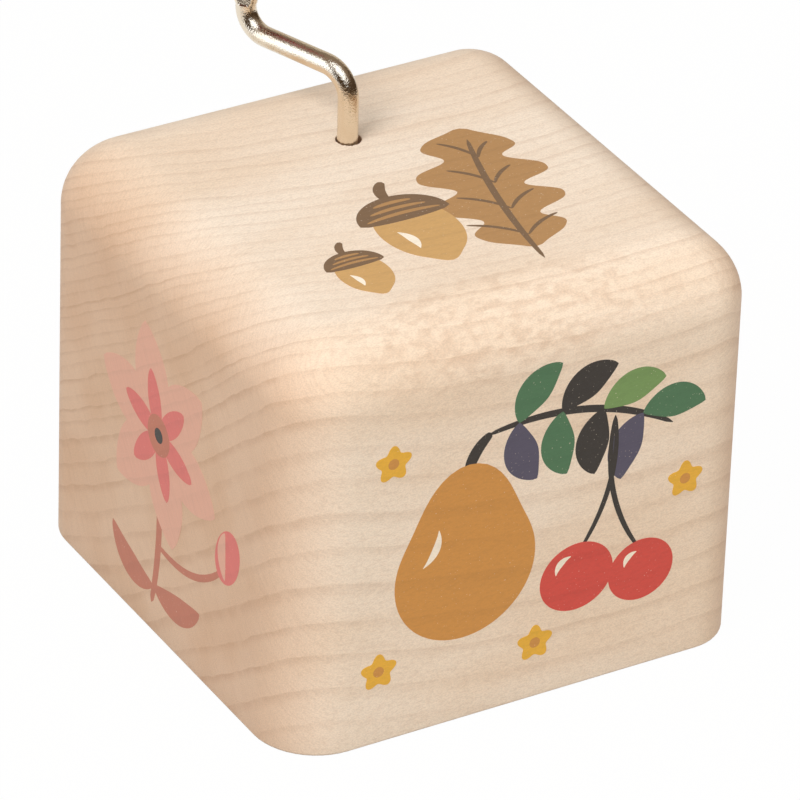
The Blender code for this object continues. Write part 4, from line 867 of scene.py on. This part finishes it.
def grain_of(given):
    """The growth rings and the fine grain at the position and with the widths that a group is given."""
    position = given["Position"]
    rings = placed_group(
        "Growth rings", position, wide_width=given["Wide width"], narrow_width=given["Narrow width"],
        wander=RING_WANDER,
    )
    return rings["Line"], *placed_group("Fine grain", position).values()


def give_surface(result, colour, roughness, height):
    """Fill the three results of a group that makes a surface."""
    for socket, value in zip(result, (colour, roughness, height)):
        fill(socket, value)


def ring_place(position):
    """How far a position lies in from the outermost ring, and how far round its ring.

    The rings are wide arcs about a line along X: the way in is a reach less the distance from that line.
    The reach changes with x by a tilt and a square, so that the rings also bow along the fibres.
    """
    flat = from_centre(position, RING_CENTRE, (0.0, 1.0, 1.0))
    _, across, up = parts(flat)
    sideways = parts(position)[0]
    reach = RING_REACH + sideways * (RING_TILT - sideways * RING_BOW)
    return reach - vector_maths("LENGTH", flat, output="Value"), maths("ARCTAN2", across, up) * RING_ARC


def build_rings_group():
    """Growth rings: wide arcs, far apart at first and closer together from a given place on.

    The ring count along the way is its integral of one over the width, which grows with a smooth step, so the
    count gains t cubed less half t to the fourth over the change.
    """
    given, result = new_group("Growth rings", {"Position": ORIGIN, **WIDTHS, "Wander": 1.0}, {"Line": 0.0})
    position = given["Position"]
    wander = swing(position, *WANDER) * given["Wander"] + swing(position, *RIPPLE) * RIPPLE_SIZE
    way = ring_place(position)[0] + wander
    way = way + swing(joined(way / UNEVEN_LENGTH), *UNEVEN) * UNEVEN_SIZE
    share = (way - NARROWING_START) / NARROWING_SPAN
    held = maths("MINIMUM", maths("MAXIMUM", share, 0.0), 1.0)
    beyond = maths("MAXIMUM", share - 1.0, 0.0)
    gain = (maths("POWER", held, 3.0) - maths("POWER", held, 4.0) * (1 / 2) + beyond) * NARROWING_SPAN
    first = 1.0 / given["Wide width"]
    count = way * first + gain * (1.0 / given["Narrow width"] - first)
    part = maths("FRACT", count)
    line = ranged(part, *LINE_RISE_SHARES) * ranged(part, *LINE_FALL_SHARES, 1.0, 0.0)
    whole = {"W": maths("FLOOR", count)}
    own = flow(count.tree, "ShaderNodeTexWhiteNoise", whole, "Value", noise_dimensions="1D")
    strength = ranged(own, 0.0, 1.0, LEAST_LINE, 1.0) * marks(position, PATCHES, LEAST_LINE, 1.0)
    fill(result["Line"], line * strength)


def build_grain_group():
    """Fine grain: ray flecks, thin across the rings' run, and short pores along the fibres."""
    given, result = new_group("Fine grain", {"Position": ORIGIN}, {"Rays": 0.0, "Pores": 0.0, "Speckle": 0.0})
    position = given["Position"]
    way_in, round_it = ring_place(position)
    ray_place = joined(parts(position)[0] / RAY_HEIGHT, round_it / RAY_THICKNESS, way_in / RAY_DEPTH)
    fill(result["Rays"], marks(ray_place, RAYS))
    fill(result["Pores"], marks(position, PORES))
    fill(result["Speckle"], noise(position, *SPECKLE))


def build_figure_group():
    """Maple: pale wood with slow warm patches, growth lines, ray flecks, pores and a painted sheen mottle."""
    colours = dict.fromkeys(("Pale", "Warm", "Line", "End tint"), WHITE)
    inputs = {"Position": ORIGIN, **colours, "End grain": 0.0, **WIDTHS}
    given, result = new_group("Maple figure", inputs, SURFACE)
    position, line_colour, ends = given["Position"], given["Line"], given["End grain"]
    line, rays, pores, speckle = grain_of(given)
    far = vector_maths("LENGTH", from_centre(position, SHEEN_MOTTLE_CENTRE, SHEEN_MOTTLE_SPREAD), output="Value")
    # The first of these is painted sheen: darker blotches near the front top edge that stand in for the
    # mottled sheen there
    darker = (
        marks(position, SHEEN_MOTTLE) * ranged(far, *SHEEN_MOTTLE_FADE, 1.0, 0.0) * SHEEN_MOTTLE_STRENGTH,
        rays * ranged(ends, 0.0, 1.0, *RAY_STRENGTHS),
        pores * PORE_STRENGTH,
        line * ranged(ends, 0.0, 1.0, *LINE_STRENGTHS),
    )
    colour = mixed(marks(position, WARMTH), given["Pale"], given["Warm"])
    for share in darker:
        colour = mixed(share, colour, line_colour)
    colour = mixed(ends, colour, given["End tint"], "MULTIPLY")
    brightness = ranged(speckle, *SPECKLE_RANGE, 1 - SPECKLE_SHARE, 1 + SPECKLE_SHARE)
    roughness = ranged(speckle, *SPECKLE_RANGE, *WOOD_ROUGHNESS)
    give_surface(result, shaded(colour, brightness), roughness, speckle - pores * PORE_DEPTH_SHARE)


def build_ink_group():
    """Ink on wood: its colour dulled along the growth lines and pores, with pin holes that show the wood."""
    inputs = {"Position": ORIGIN, "Ink": WHITE, "Wood": WHITE, **WIDTHS}
    given, result = new_group("Ink on wood", inputs, SURFACE)
    line, rays, _, speckle = grain_of(given)
    colour = mixed(marks(given["Position"], PIN_HOLES, 0.0, PIN_HOLE_STRENGTH), given["Ink"], given["Wood"])
    brightness = 1.0 + ranged(speckle, *SPECKLE_RANGE, -INK_SPECKLE_SHARE, INK_SPECKLE_SHARE)
    brightness = brightness - (rays * INK_RAY_SHARE + line * INK_LINE_SHARE)
    give_surface(result, shaded(colour, brightness), ranged(speckle, *SPECKLE_RANGE, *INK_ROUGHNESS), speckle)


def build_metal_group():
    """Metal: slow tarnish and fine streaks along one direction, as roughness and height."""
    inputs = {
        "Position": ORIGIN, "Stretch": EVEN, "Metal": WHITE, "Tarnish": WHITE, "Smooth": 0.1, "Rough": 0.4,
    }
    given, result = new_group("Worked metal", inputs, SURFACE)
    position, smooth = given["Position"], given["Smooth"]
    streaks = noise(position, given["Stretch"], METAL_DETAIL)
    colour = mixed(marks(position, TARNISH), given["Metal"], given["Tarnish"])
    give_surface(result, colour, smooth + ranged(streaks, *STREAK_RANGE) * (given["Rough"] - smooth), streaks)


def new_material(name, **plain):
    """A Principled material, with plain values for sockets that are the same all over, and its position.

    Its name gets an ending, because the frame's own plain materials have the short names. The position is the
    object's own, in millimetres.
    """
    material = bpy.data.materials.new(name + "_finish")
    material.use_nodes = True
    tree = material.node_tree
    shader = tree.nodes["Principled BSDF"]
    for key, value in plain.items():
        shader.inputs[key.replace("_", " ").title()].default_value = value
    metres = flow(tree, "ShaderNodeTexCoord", output="Object")
    position = flow(tree, "ShaderNodeVectorMath", {0: metres, "Scale": 1 / MM}, operation="SCALE")
    return material, shader, position


def dress_shader(shader, colour, roughness, height, distance):
    """Fill the shader's colour and roughness, and its normal from a height through a bump."""
    bump = {"Height": height, "Distance": distance, "Strength": 1.0}
    fill(shader.inputs["Base Color"], colour)
    fill(shader.inputs["Roughness"], roughness)
    fill(shader.inputs["Normal"], flow(height.tree, "ShaderNodeBump", bump, "Normal"))


def maple_material(wood):
    """Sanded, matt oiled maple."""
    material, shader, position = new_material("maple")
    ends = flow(position.tree, "ShaderNodeAttribute", output="Fac", attribute_name="end_grain")
    figure = placed_group(
        "Maple figure", position, pale=linear(wood.pale), warm=linear(wood.warm), line=linear(wood.line),
        end_tint=linear(wood.end_grain), end_grain=ends, wide_width=wood.wide_ring / MM,
        narrow_width=wood.narrow_ring / MM,
    )
    dress_shader(shader, *figure.values(), WOOD_BUMP)
    return material


def ink_material(name, colour):
    """Matt ink with the wood's grain faintly in it."""
    known = bpy.data.materials.get("ink_" + name + "_finish")
    if known:
        return known
    wood = bpy.context.scene.cube_wood
    material, shader, position = new_material("ink_" + name)
    ink = placed_group(
        "Ink on wood", position, ink=linear(colour), wood=linear(wood.pale), wide_width=wood.wide_ring / MM,
        narrow_width=wood.narrow_ring / MM,
    )
    dress_shader(shader, *ink.values(), INK_BUMP)
    return material


def metal_material(name):
    """A metal of the table. Its streaks run across the largest number of the stretch."""
    known = bpy.data.materials.get(name + "_finish")
    if known:
        return known
    metal, tarnish, smooth, rough, stretch, bump = METALS[name]
    material, shader, position = new_material(name, metallic=1.0)
    worked = placed_group(
        "Worked metal", position, stretch=stretch, metal=linear(metal), tarnish=linear(tarnish),
        smooth=smooth, rough=rough,
    )
    dress_shader(shader, *worked.values(), bump)
    return material


def lacquer_material(colour):
    """Dark red lacquer on turned wood: a clear coat over faintly darker rings of grain."""
    material, shader, position = new_material("knob_lacquer", coat_weight=0.8, coat_roughness=0.08)
    grain = marks(position, KNOB_GRAIN)
    deep = tuple(part * KNOB_DEPTH_SHARE for part in linear(colour)[:3]) + (1.0,)
    roughness = ranged(grain, 0.0, 1.0, *KNOB_ROUGHNESS)
    dress_shader(shader, mixed(grain, linear(colour), deep), roughness, grain, KNOB_BUMP)
    return material


def plywood_material(name, thickness_axis, face):
    """Birch plywood: plies counted through the sheet, with the grain of every other one turned."""
    material, shader, position = new_material(name)
    depth = (parts(position)[thickness_axis] - face / MM) / PLY_THICKNESS
    odd = maths("GREATER_THAN", maths("PINGPONG", depth, 1.0), 0.5)
    veneers = {0: odd, 2: noise(position, *VENEER), 3: noise(position, *CROSS_VENEER)}
    grain = flow(position.tree, "ShaderNodeMix", veneers, data_type="FLOAT")
    glue = ranged(maths("ABSOLUTE", maths("FRACT", depth) - 0.5), *GLUE_RANGE) * GLUE_STRENGTH
    colour = mixed(ranged(grain, *VENEER_RANGE), linear(VENEER_LIGHT), linear(VENEER_DARK))
    colour = mixed(glue, colour, linear(VENEER_GLUE))
    dress_shader(shader, colour, ranged(grain, *SPECKLE_RANGE, *VENEER_ROUGHNESS), grain, VENEER_BUMP)
    return material


def nylon_material():
    """Moulded natural nylon, slightly cloudy."""
    material, shader, position = new_material("nylon")
    cloud = noise(position, *NYLON)
    colour = mixed(cloud, linear(NYLON_LIGHT), linear(NYLON_DARK))
    dress_shader(shader, colour, ranged(cloud, *SPECKLE_RANGE, *NYLON_ROUGHNESS), cloud, NYLON_BUMP)
    return material


def dress_nodes():
    """Give every solid that stays from the frame its own finish."""
    zinc, cast, steel, brass = map(metal_material, ("zinc_screw", "die_cast", "comb_steel", "brass"))
    finishes = {
        "base_plate": plywood_material("base_plywood", 2, PLATE_LOW.z),
        "mounting_board": plywood_material("board_plywood", 0, BOARD_LOW.x),
        "worm_wheel": nylon_material(), "base_screw": zinc, "frame_screw": zinc, "bridge_screw": zinc,
        "movement_frame": cast, "cylinder_tube": brass, "cylinder_cap": brass, "comb": steel,
        "worm_bridge": steel, "worm_shaft": steel, "cylinder_arbor": steel, "arbor_clip": steel,
    }
    for name, node in frame["nodes"].items():
        for start, material in finishes.items():
            if name.startswith(start):
                node.data.materials.clear()
                node.data.materials.append(material)
                break


def make_camera():
    """The photograph's camera: stood up to its elevation, turned to its azimuth, drawn back and rolled."""
    camera = bpy.data.objects.new("camera", bpy.data.cameras.new("camera"))
    camera.data.lens = CAMERA_LENS
    camera.data.sensor_width = CAMERA_SENSOR
    camera.data.clip_start = CAMERA_NEAR
    camera.data.clip_end = CAMERA_FAR
    azimuth = Matrix.Rotation(CAMERA_AZIMUTH, 4, "Z")
    elevation = Matrix.Rotation(QUARTER_TURN - CAMERA_ELEVATION, 4, "X")
    roll = Matrix.Rotation(CAMERA_ROLL, 4, "Z")
    drawn_back = Matrix.Translation((0, 0, CAMERA_DISTANCE))
    camera.matrix_world = Matrix.Translation(CAMERA_TARGET) @ azimuth @ elevation @ roll @ drawn_back
    bpy.context.scene.collection.objects.link(camera)
    bpy.context.scene.camera = camera


def make_lamp(name, direction, power, size, colour):
    """A square soft lamp that faces the block from a direction."""
    lamp = bpy.data.objects.new(name, bpy.data.lights.new(name, "AREA"))
    lamp.data.energy = power
    lamp.data.color = linear(colour)[:3]
    lamp.data.size = size
    lamp.visible_glossy = False
    aim = Vector(direction).normalized()
    turn = aim.to_track_quat("Z", "Y").to_matrix().to_4x4()
    lamp.matrix_world = Matrix.Translation(aim * LAMP_DISTANCE) @ turn
    bpy.context.scene.collection.objects.link(lamp)


def floor_material():
    """White for the camera, plain pale in other light, and clear from below and in reflections."""
    material, shader, position = new_material(
        "floor", roughness=FLOOR_ROUGHNESS, base_color=linear(FLOOR_COLOUR)
    )
    tree = position.tree
    light = flows(add(tree, "ShaderNodeLightPath"))
    kept = maths("MAXIMUM", light["Is Camera Ray"], light["Is Transmission Ray"]) * FLOOR_WHITE_SHARE
    white = flow(tree, "ShaderNodeEmission", {"Color": linear(FLOOR_WHITE), "Strength": 1.0})
    both = flow(tree, "ShaderNodeMixShader", {0: kept, 1: Flow(shader.outputs[0]), 2: white})
    below = flow(tree, "ShaderNodeNewGeometry", output="Backfacing")
    passed = maths("MAXIMUM", below, light["Is Glossy Ray"])
    clear = flow(tree, "ShaderNodeBsdfTransparent")
    shown = flow(tree, "ShaderNodeMixShader", {0: passed, 1: both, 2: clear})
    fill(tree.nodes["Material Output"].inputs["Surface"], shown)
    return material


def make_floor(look):
    """A flat grid just under the block."""
    line = np.linspace(-look.floor_size, look.floor_size, look.columns + 1)
    across, along = np.meshgrid(line, line)
    points = np.stack((across, along, np.full_like(across, -FLOOR_GAP)), axis=-1)
    data = bpy.data.meshes.new("floor")
    faces = grid_faces(look.columns + 1, look.columns + 1, round_columns=False)
    data.from_pydata(points.reshape(-1, 3).tolist(), [], faces.tolist())
    data.materials.append(floor_material())
    floor = bpy.data.objects.new("floor", data)
    bpy.context.scene.collection.objects.link(floor)


def make_surroundings(look):
    """An even sky for the light, white for the eye, and a studio of soft panels for reflections."""
    world = bpy.data.worlds.new("studio")
    world.use_nodes = True
    bpy.context.scene.world = world
    tree = world.node_tree
    light = flows(add(tree, "ShaderNodeLightPath"))
    direction = flow(tree, "ShaderNodeTexCoord", output="Generated")
    height = parts(direction)[2]
    studio = mixed(ranged(height, *ROOM_RANGE), linear(ROOM_LOW), linear(ROOM_HIGH))
    for azimuth, elevation, inner, outer, colour in STUDIO_PANELS:
        turn, climb, near, far = map(math.radians, (azimuth, elevation, inner, outer))
        facing = (math.cos(climb) * math.cos(turn), math.cos(climb) * math.sin(turn), math.sin(climb))
        likeness = vector_maths("DOT_PRODUCT", direction, facing, output="Value")
        studio = mixed(ranged(likeness, math.cos(far), math.cos(near)), studio, linear(colour))
    studio = mixed(ranged(height, *TABLE_RANGE, 1.0, 0.0), studio, linear(STUDIO_WHITE))
    colour = mixed(light["Is Glossy Ray"], linear(STUDIO_WHITE), studio)
    seen = maths("MAXIMUM", light["Is Camera Ray"], light["Is Glossy Ray"])
    seen = maths("MAXIMUM", seen, light["Is Transmission Ray"])
    shown = flow(tree, "ShaderNodeBackground", {"Color": colour, "Strength": 1.0})
    lit = flow(tree, "ShaderNodeBackground", {"Color": linear(SKY_COLOUR), "Strength": look.sky_strength})
    both = flow(tree, "ShaderNodeMixShader", {0: seen, 1: lit, 2: shown})
    fill(tree.nodes["World Output"].inputs["Surface"], both)


# Values of the shapes above
TINY = 1e-12
# How often each wave of torn fibres goes round the hole, and where it starts
FIBRE_WAVES = ((9, 0), (17, 1), (31, 2), (53, 0))
TORN_SIDE = QUARTER_TURN / 3
LEAST_TORN_SHARE = 1 / 4
LEAST_CORNER_SHARE = 0.1
END_GRAIN_POWER = 1.5
PEAR_NECK_SHARE = 0.52
PEAR_NECK_POWER = 6
NUT_POINT_SHARE = 0.14
NUT_POINT_POWER = 40
CUP_LIP_SHARE = 0.18
# Reach to each side and height of the rows on an acorn's cup
CUP_ROWS = ((4.5, 3.3), (3.4, 4.6), (2.3, 5.9))
VEIN_PAIRS = 4
VEIN_START_SHARE = 0.45
VEIN_END_SHARE = 0.6
VEIN_REACH = 6.2
VEIN_RISE = 4.4
VEIN_SLANT = 1.2
RIVET_CROWN_SHARE = 0.75
EAR_SLOPE_SHARE = 0.5
EAR_END_SHARE = 0.25
EAR_STEP_SHARE = 0.6
EAR_FACING = math.radians(22)
NOTCH_POWER = 3
BRANCH_ROOT = (-6.4, 43.4)
BRANCH_TIP = (22.0, 37.4)
BRANCH_BOW = 0.10
BRANCH_INKS = ("green", "navy", "black", "green", "light_green", "black", "green", "navy")
BRANCH_STEM_SHARE = 0.7
BRANCH_END_SHARE = 0.5
# Lean in degrees, its change from leaf to leaf, length and bow of the leaves above and below the branch
BRANCH_LEAVES = ((50, -9, 9.6, 0.11), (-66, -6, 9.8, -0.11))
BRANCH_LEAF_FORM = (5.0, 0.75)
WASHER_PLAY = 0.1 * MM
KNOB_BELLY_POWER = 1.797
KNOB_FULLNESS = 0.85

# Shader nodes: sockets and what they hold at first
SOCKET_KINDS = {1: "NodeSocketFloat", 3: "NodeSocketVector", 4: "NodeSocketColor"}
ORIGIN = (0, 0, 0)
EVEN = (1, 1, 1)
WHITE = (1, 1, 1, 1)
WIDTHS = {"Wide width": 3.4, "Narrow width": 1.25}
SURFACE = {"Colour": WHITE, "Roughness": 0.5, "Height": 0.0}
NOISE_MEAN = 0.5

# Values of the wood, in millimetres. A noise is its stretch along X, Y and Z and its detail. Marks also have
# the range of the noise that they rise over.
RING_CENTRE = (0.0, 154.0, 245.0)
RING_REACH = 329.5
RING_TILT = 0.072
RING_BOW = 0.0026
RING_ARC = 250.0
RING_WANDER = 2.2
UNEVEN = (EVEN, 1.0)
UNEVEN_LENGTH = 6.0
UNEVEN_SIZE = 3.2
WANDER = ((0.016, 0.035, 0.035), 1.0)
RIPPLE = ((0.12, 0.30, 0.30), 1.0)
RIPPLE_SIZE = 0.7
PATCHES = ((0.06, 0.35, 0.35), 2.0, 0.3, 0.62)
NARROWING_START = 46.0
NARROWING_SPAN = 38.0
LINE_RISE_SHARES = (0.55, 0.94)
LINE_FALL_SHARES = (0.94, 1.0)
LEAST_LINE = 0.45
RAYS = (EVEN, 1.0, 0.42, 0.72)
RAY_HEIGHT = 1.1
RAY_THICKNESS = 0.22
RAY_DEPTH = 3.5
PORES = ((0.6, 7.0, 7.0), 1.0, 0.48, 0.75)
PORE_STRENGTH = 0.08
PORE_DEPTH_SHARE = 0.3
SPECKLE = ((3.6, 6.5, 6.5), 2.0)
SPECKLE_RANGE = (0.3, 0.7)
SPECKLE_SHARE = 0.075
WARMTH = ((0.02, 0.07, 0.07), 2.0, 0.35, 0.7)
# Painted sheen mottle: blotches near the front top edge, darkened towards the growth line's colour in place
# of sheen
SHEEN_MOTTLE = ((0.45, 0.8, 0.8), 1.0, 0.42, 0.62)
SHEEN_MOTTLE_CENTRE = (-3.0, -30.0, 56.5)
SHEEN_MOTTLE_SPREAD = (0.033, 0.10, 0.10)
SHEEN_MOTTLE_FADE = (0.5, 1.0)
SHEEN_MOTTLE_STRENGTH = 0.22
# Strengths on the sides and on the end grain
LINE_STRENGTHS = (0.25, 0.36)
RAY_STRENGTHS = (0.13, 0.10)
WOOD_ROUGHNESS = (0.52, 0.66)
WOOD_BUMP = 0.03 * MM
PIN_HOLES = ((3.0, 4.0, 4.0), 1.0, 0.70, 0.78)
PIN_HOLE_STRENGTH = 0.5
INK_RAY_SHARE = 0.05
INK_LINE_SHARE = 0.07
INK_SPECKLE_SHARE = 0.035
INK_ROUGHNESS = (0.50, 0.62)
INK_BUMP = 0.02 * MM

# Values of the other finishes
TARNISH = ((0.25, 0.25, 0.25), 3.0, 0.45, 0.75)
METAL_DETAIL = 3.0
STREAK_RANGE = (0.35, 0.7)
# Metal, tarnish, smoothest, roughest, stretch of the streaks and bump of each metal
METALS = {
    "nickel_plate": ((0.91, 0.86, 0.78), (0.87, 0.80, 0.70), 0.06, 0.12, (4.2, 4.2, 4.2), 0.058 * MM),
    "zinc_screw": ((0.80, 0.80, 0.79), (0.70, 0.70, 0.66), 0.22, 0.42, (3.0, 3.0, 3.0), 0.01 * MM),
    "die_cast": ((0.70, 0.71, 0.72), (0.60, 0.61, 0.63), 0.38, 0.60, (4.0, 4.0, 4.0), 0.04 * MM),
    "comb_steel": ((0.76, 0.77, 0.78), (0.66, 0.66, 0.67), 0.20, 0.42, (2.0, 14.0, 1.0), 0.01 * MM),
    "brass": ((0.86, 0.70, 0.38), (0.72, 0.55, 0.28), 0.16, 0.34, (1.0, 16.0, 1.0), 0.01 * MM),
}
KNOB_GRAIN = ((1.6, 1.6, 0.2), 3.0, 0.3, 0.75)
KNOB_DEPTH_SHARE = 0.62
KNOB_ROUGHNESS = (0.28, 0.42)
KNOB_BUMP = 0.02 * MM
PLY_THICKNESS = 0.6
VENEER = ((0.08, 1.6, 1.6), 4.0)
CROSS_VENEER = ((1.6, 0.08, 0.08), 4.0)
VENEER_RANGE = (0.35, 0.7)
VENEER_LIGHT = (0.90, 0.79, 0.64)
VENEER_DARK = (0.80, 0.66, 0.49)
VENEER_GLUE = (0.52, 0.38, 0.26)
VENEER_ROUGHNESS = (0.55, 0.7)
VENEER_BUMP = 0.06 * MM
GLUE_RANGE = (0.42, 0.5)
GLUE_STRENGTH = 0.5
NYLON = ((0.5, 0.5, 0.5), 3.0)
NYLON_LIGHT = (0.94, 0.93, 0.89)
NYLON_DARK = (0.89, 0.87, 0.81)
NYLON_ROUGHNESS = (0.38, 0.5)
NYLON_BUMP = 0.02 * MM

# Values of the stage
LAMP_DISTANCE = 1.4
KEY_DIRECTION = (0.25, -1.0, 0.12)
FILL_DIRECTION = (-1.0, -0.45, 1.25)
KEY_COLOUR = (1.0, 0.96, 0.91)
FILL_COLOUR = (1.0, 1.0, 1.0)
FLOOR_GAP = 0.1 * MM
FLOOR_ROUGHNESS = 0.9
FLOOR_COLOUR = (0.55, 0.53, 0.50)
FLOOR_WHITE = (1.015, 1.015, 1.015)
FLOOR_WHITE_SHARE = 0.95
SKY_COLOUR = (1.0, 0.99, 0.97)
STUDIO_WHITE = (1.0, 1.0, 1.0)
ROOM_LOW = (0.30, 0.24, 0.18)
ROOM_HIGH = (0.56, 0.50, 0.44)
ROOM_RANGE = (0.30, 0.75)
TABLE_RANGE = (-0.30, -0.22)
PANEL_WHITE = (1.28, 1.32, 1.38)
PANEL_CREAM = (0.84, 0.80, 0.74)
# Azimuth, elevation, inner and outer radius of each soft panel in degrees, and its colour
STUDIO_PANELS = (
    (243.0, 55.0, 25.0, 32.0, PANEL_WHITE),
    (158.0, 14.0, 22.0, 34.0, PANEL_WHITE),
    (48.0, 2.0, 22.0, 36.0, PANEL_CREAM),
)


class BuildShaderGroups(bpy.types.Operator):
    """Build the node groups that the materials share"""

    bl_idname = "sound_cube.build_shader_groups"
    bl_label = "Shader groups"

    def execute(self, context):
        for build in GROUPS:
            build()
        return {"FINISHED"}


class BuildBlock(bpy.types.Operator):
    """Build the hollow maple block"""

    bl_idname = "sound_cube.build_block"
    bl_label = "Maple block"

    def execute(self, context):
        make_block(context.scene.cube_block, context.scene.cube_wood)
        return {"FINISHED"}


class BuildPrints(bpy.types.Operator):
    """Print the pear, the flower and the acorns on the block"""

    bl_idname = "sound_cube.build_prints"
    bl_label = "Prints"

    def execute(self, context):
        make_prints(context.scene.cube_print)
        return {"FINISHED"}


class BuildCrank(bpy.types.Operator):
    """Build the bent wire crank"""

    bl_idname = "sound_cube.build_crank"
    bl_label = "Wire crank"

    def execute(self, context):
        make_crank(context.scene.cube_crank)
        return {"FINISHED"}


class BuildKnob(bpy.types.Operator):
    """Build the turned knob and the washer that keeps it on"""

    bl_idname = "sound_cube.build_knob"
    bl_label = "Knob"

    def execute(self, context):
        make_knob(context.scene.cube_crank)
        return {"FINISHED"}


class DressNodes(bpy.types.Operator):
    """Finish the base plate, the screws and the movement"""

    bl_idname = "sound_cube.dress_nodes"
    bl_label = "Base and movement"

    def execute(self, context):
        dress_nodes()
        return {"FINISHED"}


class BuildStage(bpy.types.Operator):
    """Set the camera, lamps, floor and surroundings"""

    bl_idname = "sound_cube.build_stage"
    bl_label = "Stage"

    def execute(self, context):
        look = context.scene.cube_stage
        make_camera()
        make_lamp("key_lamp", KEY_DIRECTION, look.key_power, look.lamp_size, KEY_COLOUR)
        make_lamp("fill_lamp", FILL_DIRECTION, look.fill_power, look.lamp_size, FILL_COLOUR)
        make_floor(look)
        make_surroundings(look)
        context.scene.view_settings.view_transform = "Standard"
        return {"FINISHED"}


class SoundCubePanel(bpy.types.Panel):
    """Lists the steps in order"""

    bl_idname = "VIEW3D_PT_sound_cube"
    bl_label = "Sound cube"
    bl_space_type = "VIEW_3D"
    bl_region_type = "UI"
    bl_category = "Sound cube"

    def draw(self, context):
        for step in STEPS:
            self.layout.operator(step.bl_idname)


GROUPS = (build_rings_group, build_grain_group, build_figure_group, build_ink_group, build_metal_group)
STEPS = (BuildStage, BuildShaderGroups, BuildBlock, BuildPrints, BuildCrank, BuildKnob, DressNodes)
SETTINGS = {
    "cube_block": BlockSizes, "cube_wood": WoodLook, "cube_print": PrintLook, "cube_crank": CrankSizes,
    "cube_stage": StageLook,
}
CLASSES = (*SETTINGS.values(), *STEPS, SoundCubePanel)


def register():
    for each in CLASSES:
        bpy.utils.register_class(each)
    for name, group in SETTINGS.items():
        setattr(bpy.types.Scene, name, PointerProperty(type=group))


def unregister():
    for name in SETTINGS:
        delattr(bpy.types.Scene, name)
    for each in reversed(CLASSES):
        bpy.utils.unregister_class(each)


def main():
    """Register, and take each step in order."""
    register()
    for step in STEPS:
        area, name = step.bl_idname.split(".")
        getattr(getattr(bpy.ops, area), name)()


if __name__ == "__main__":
    main()
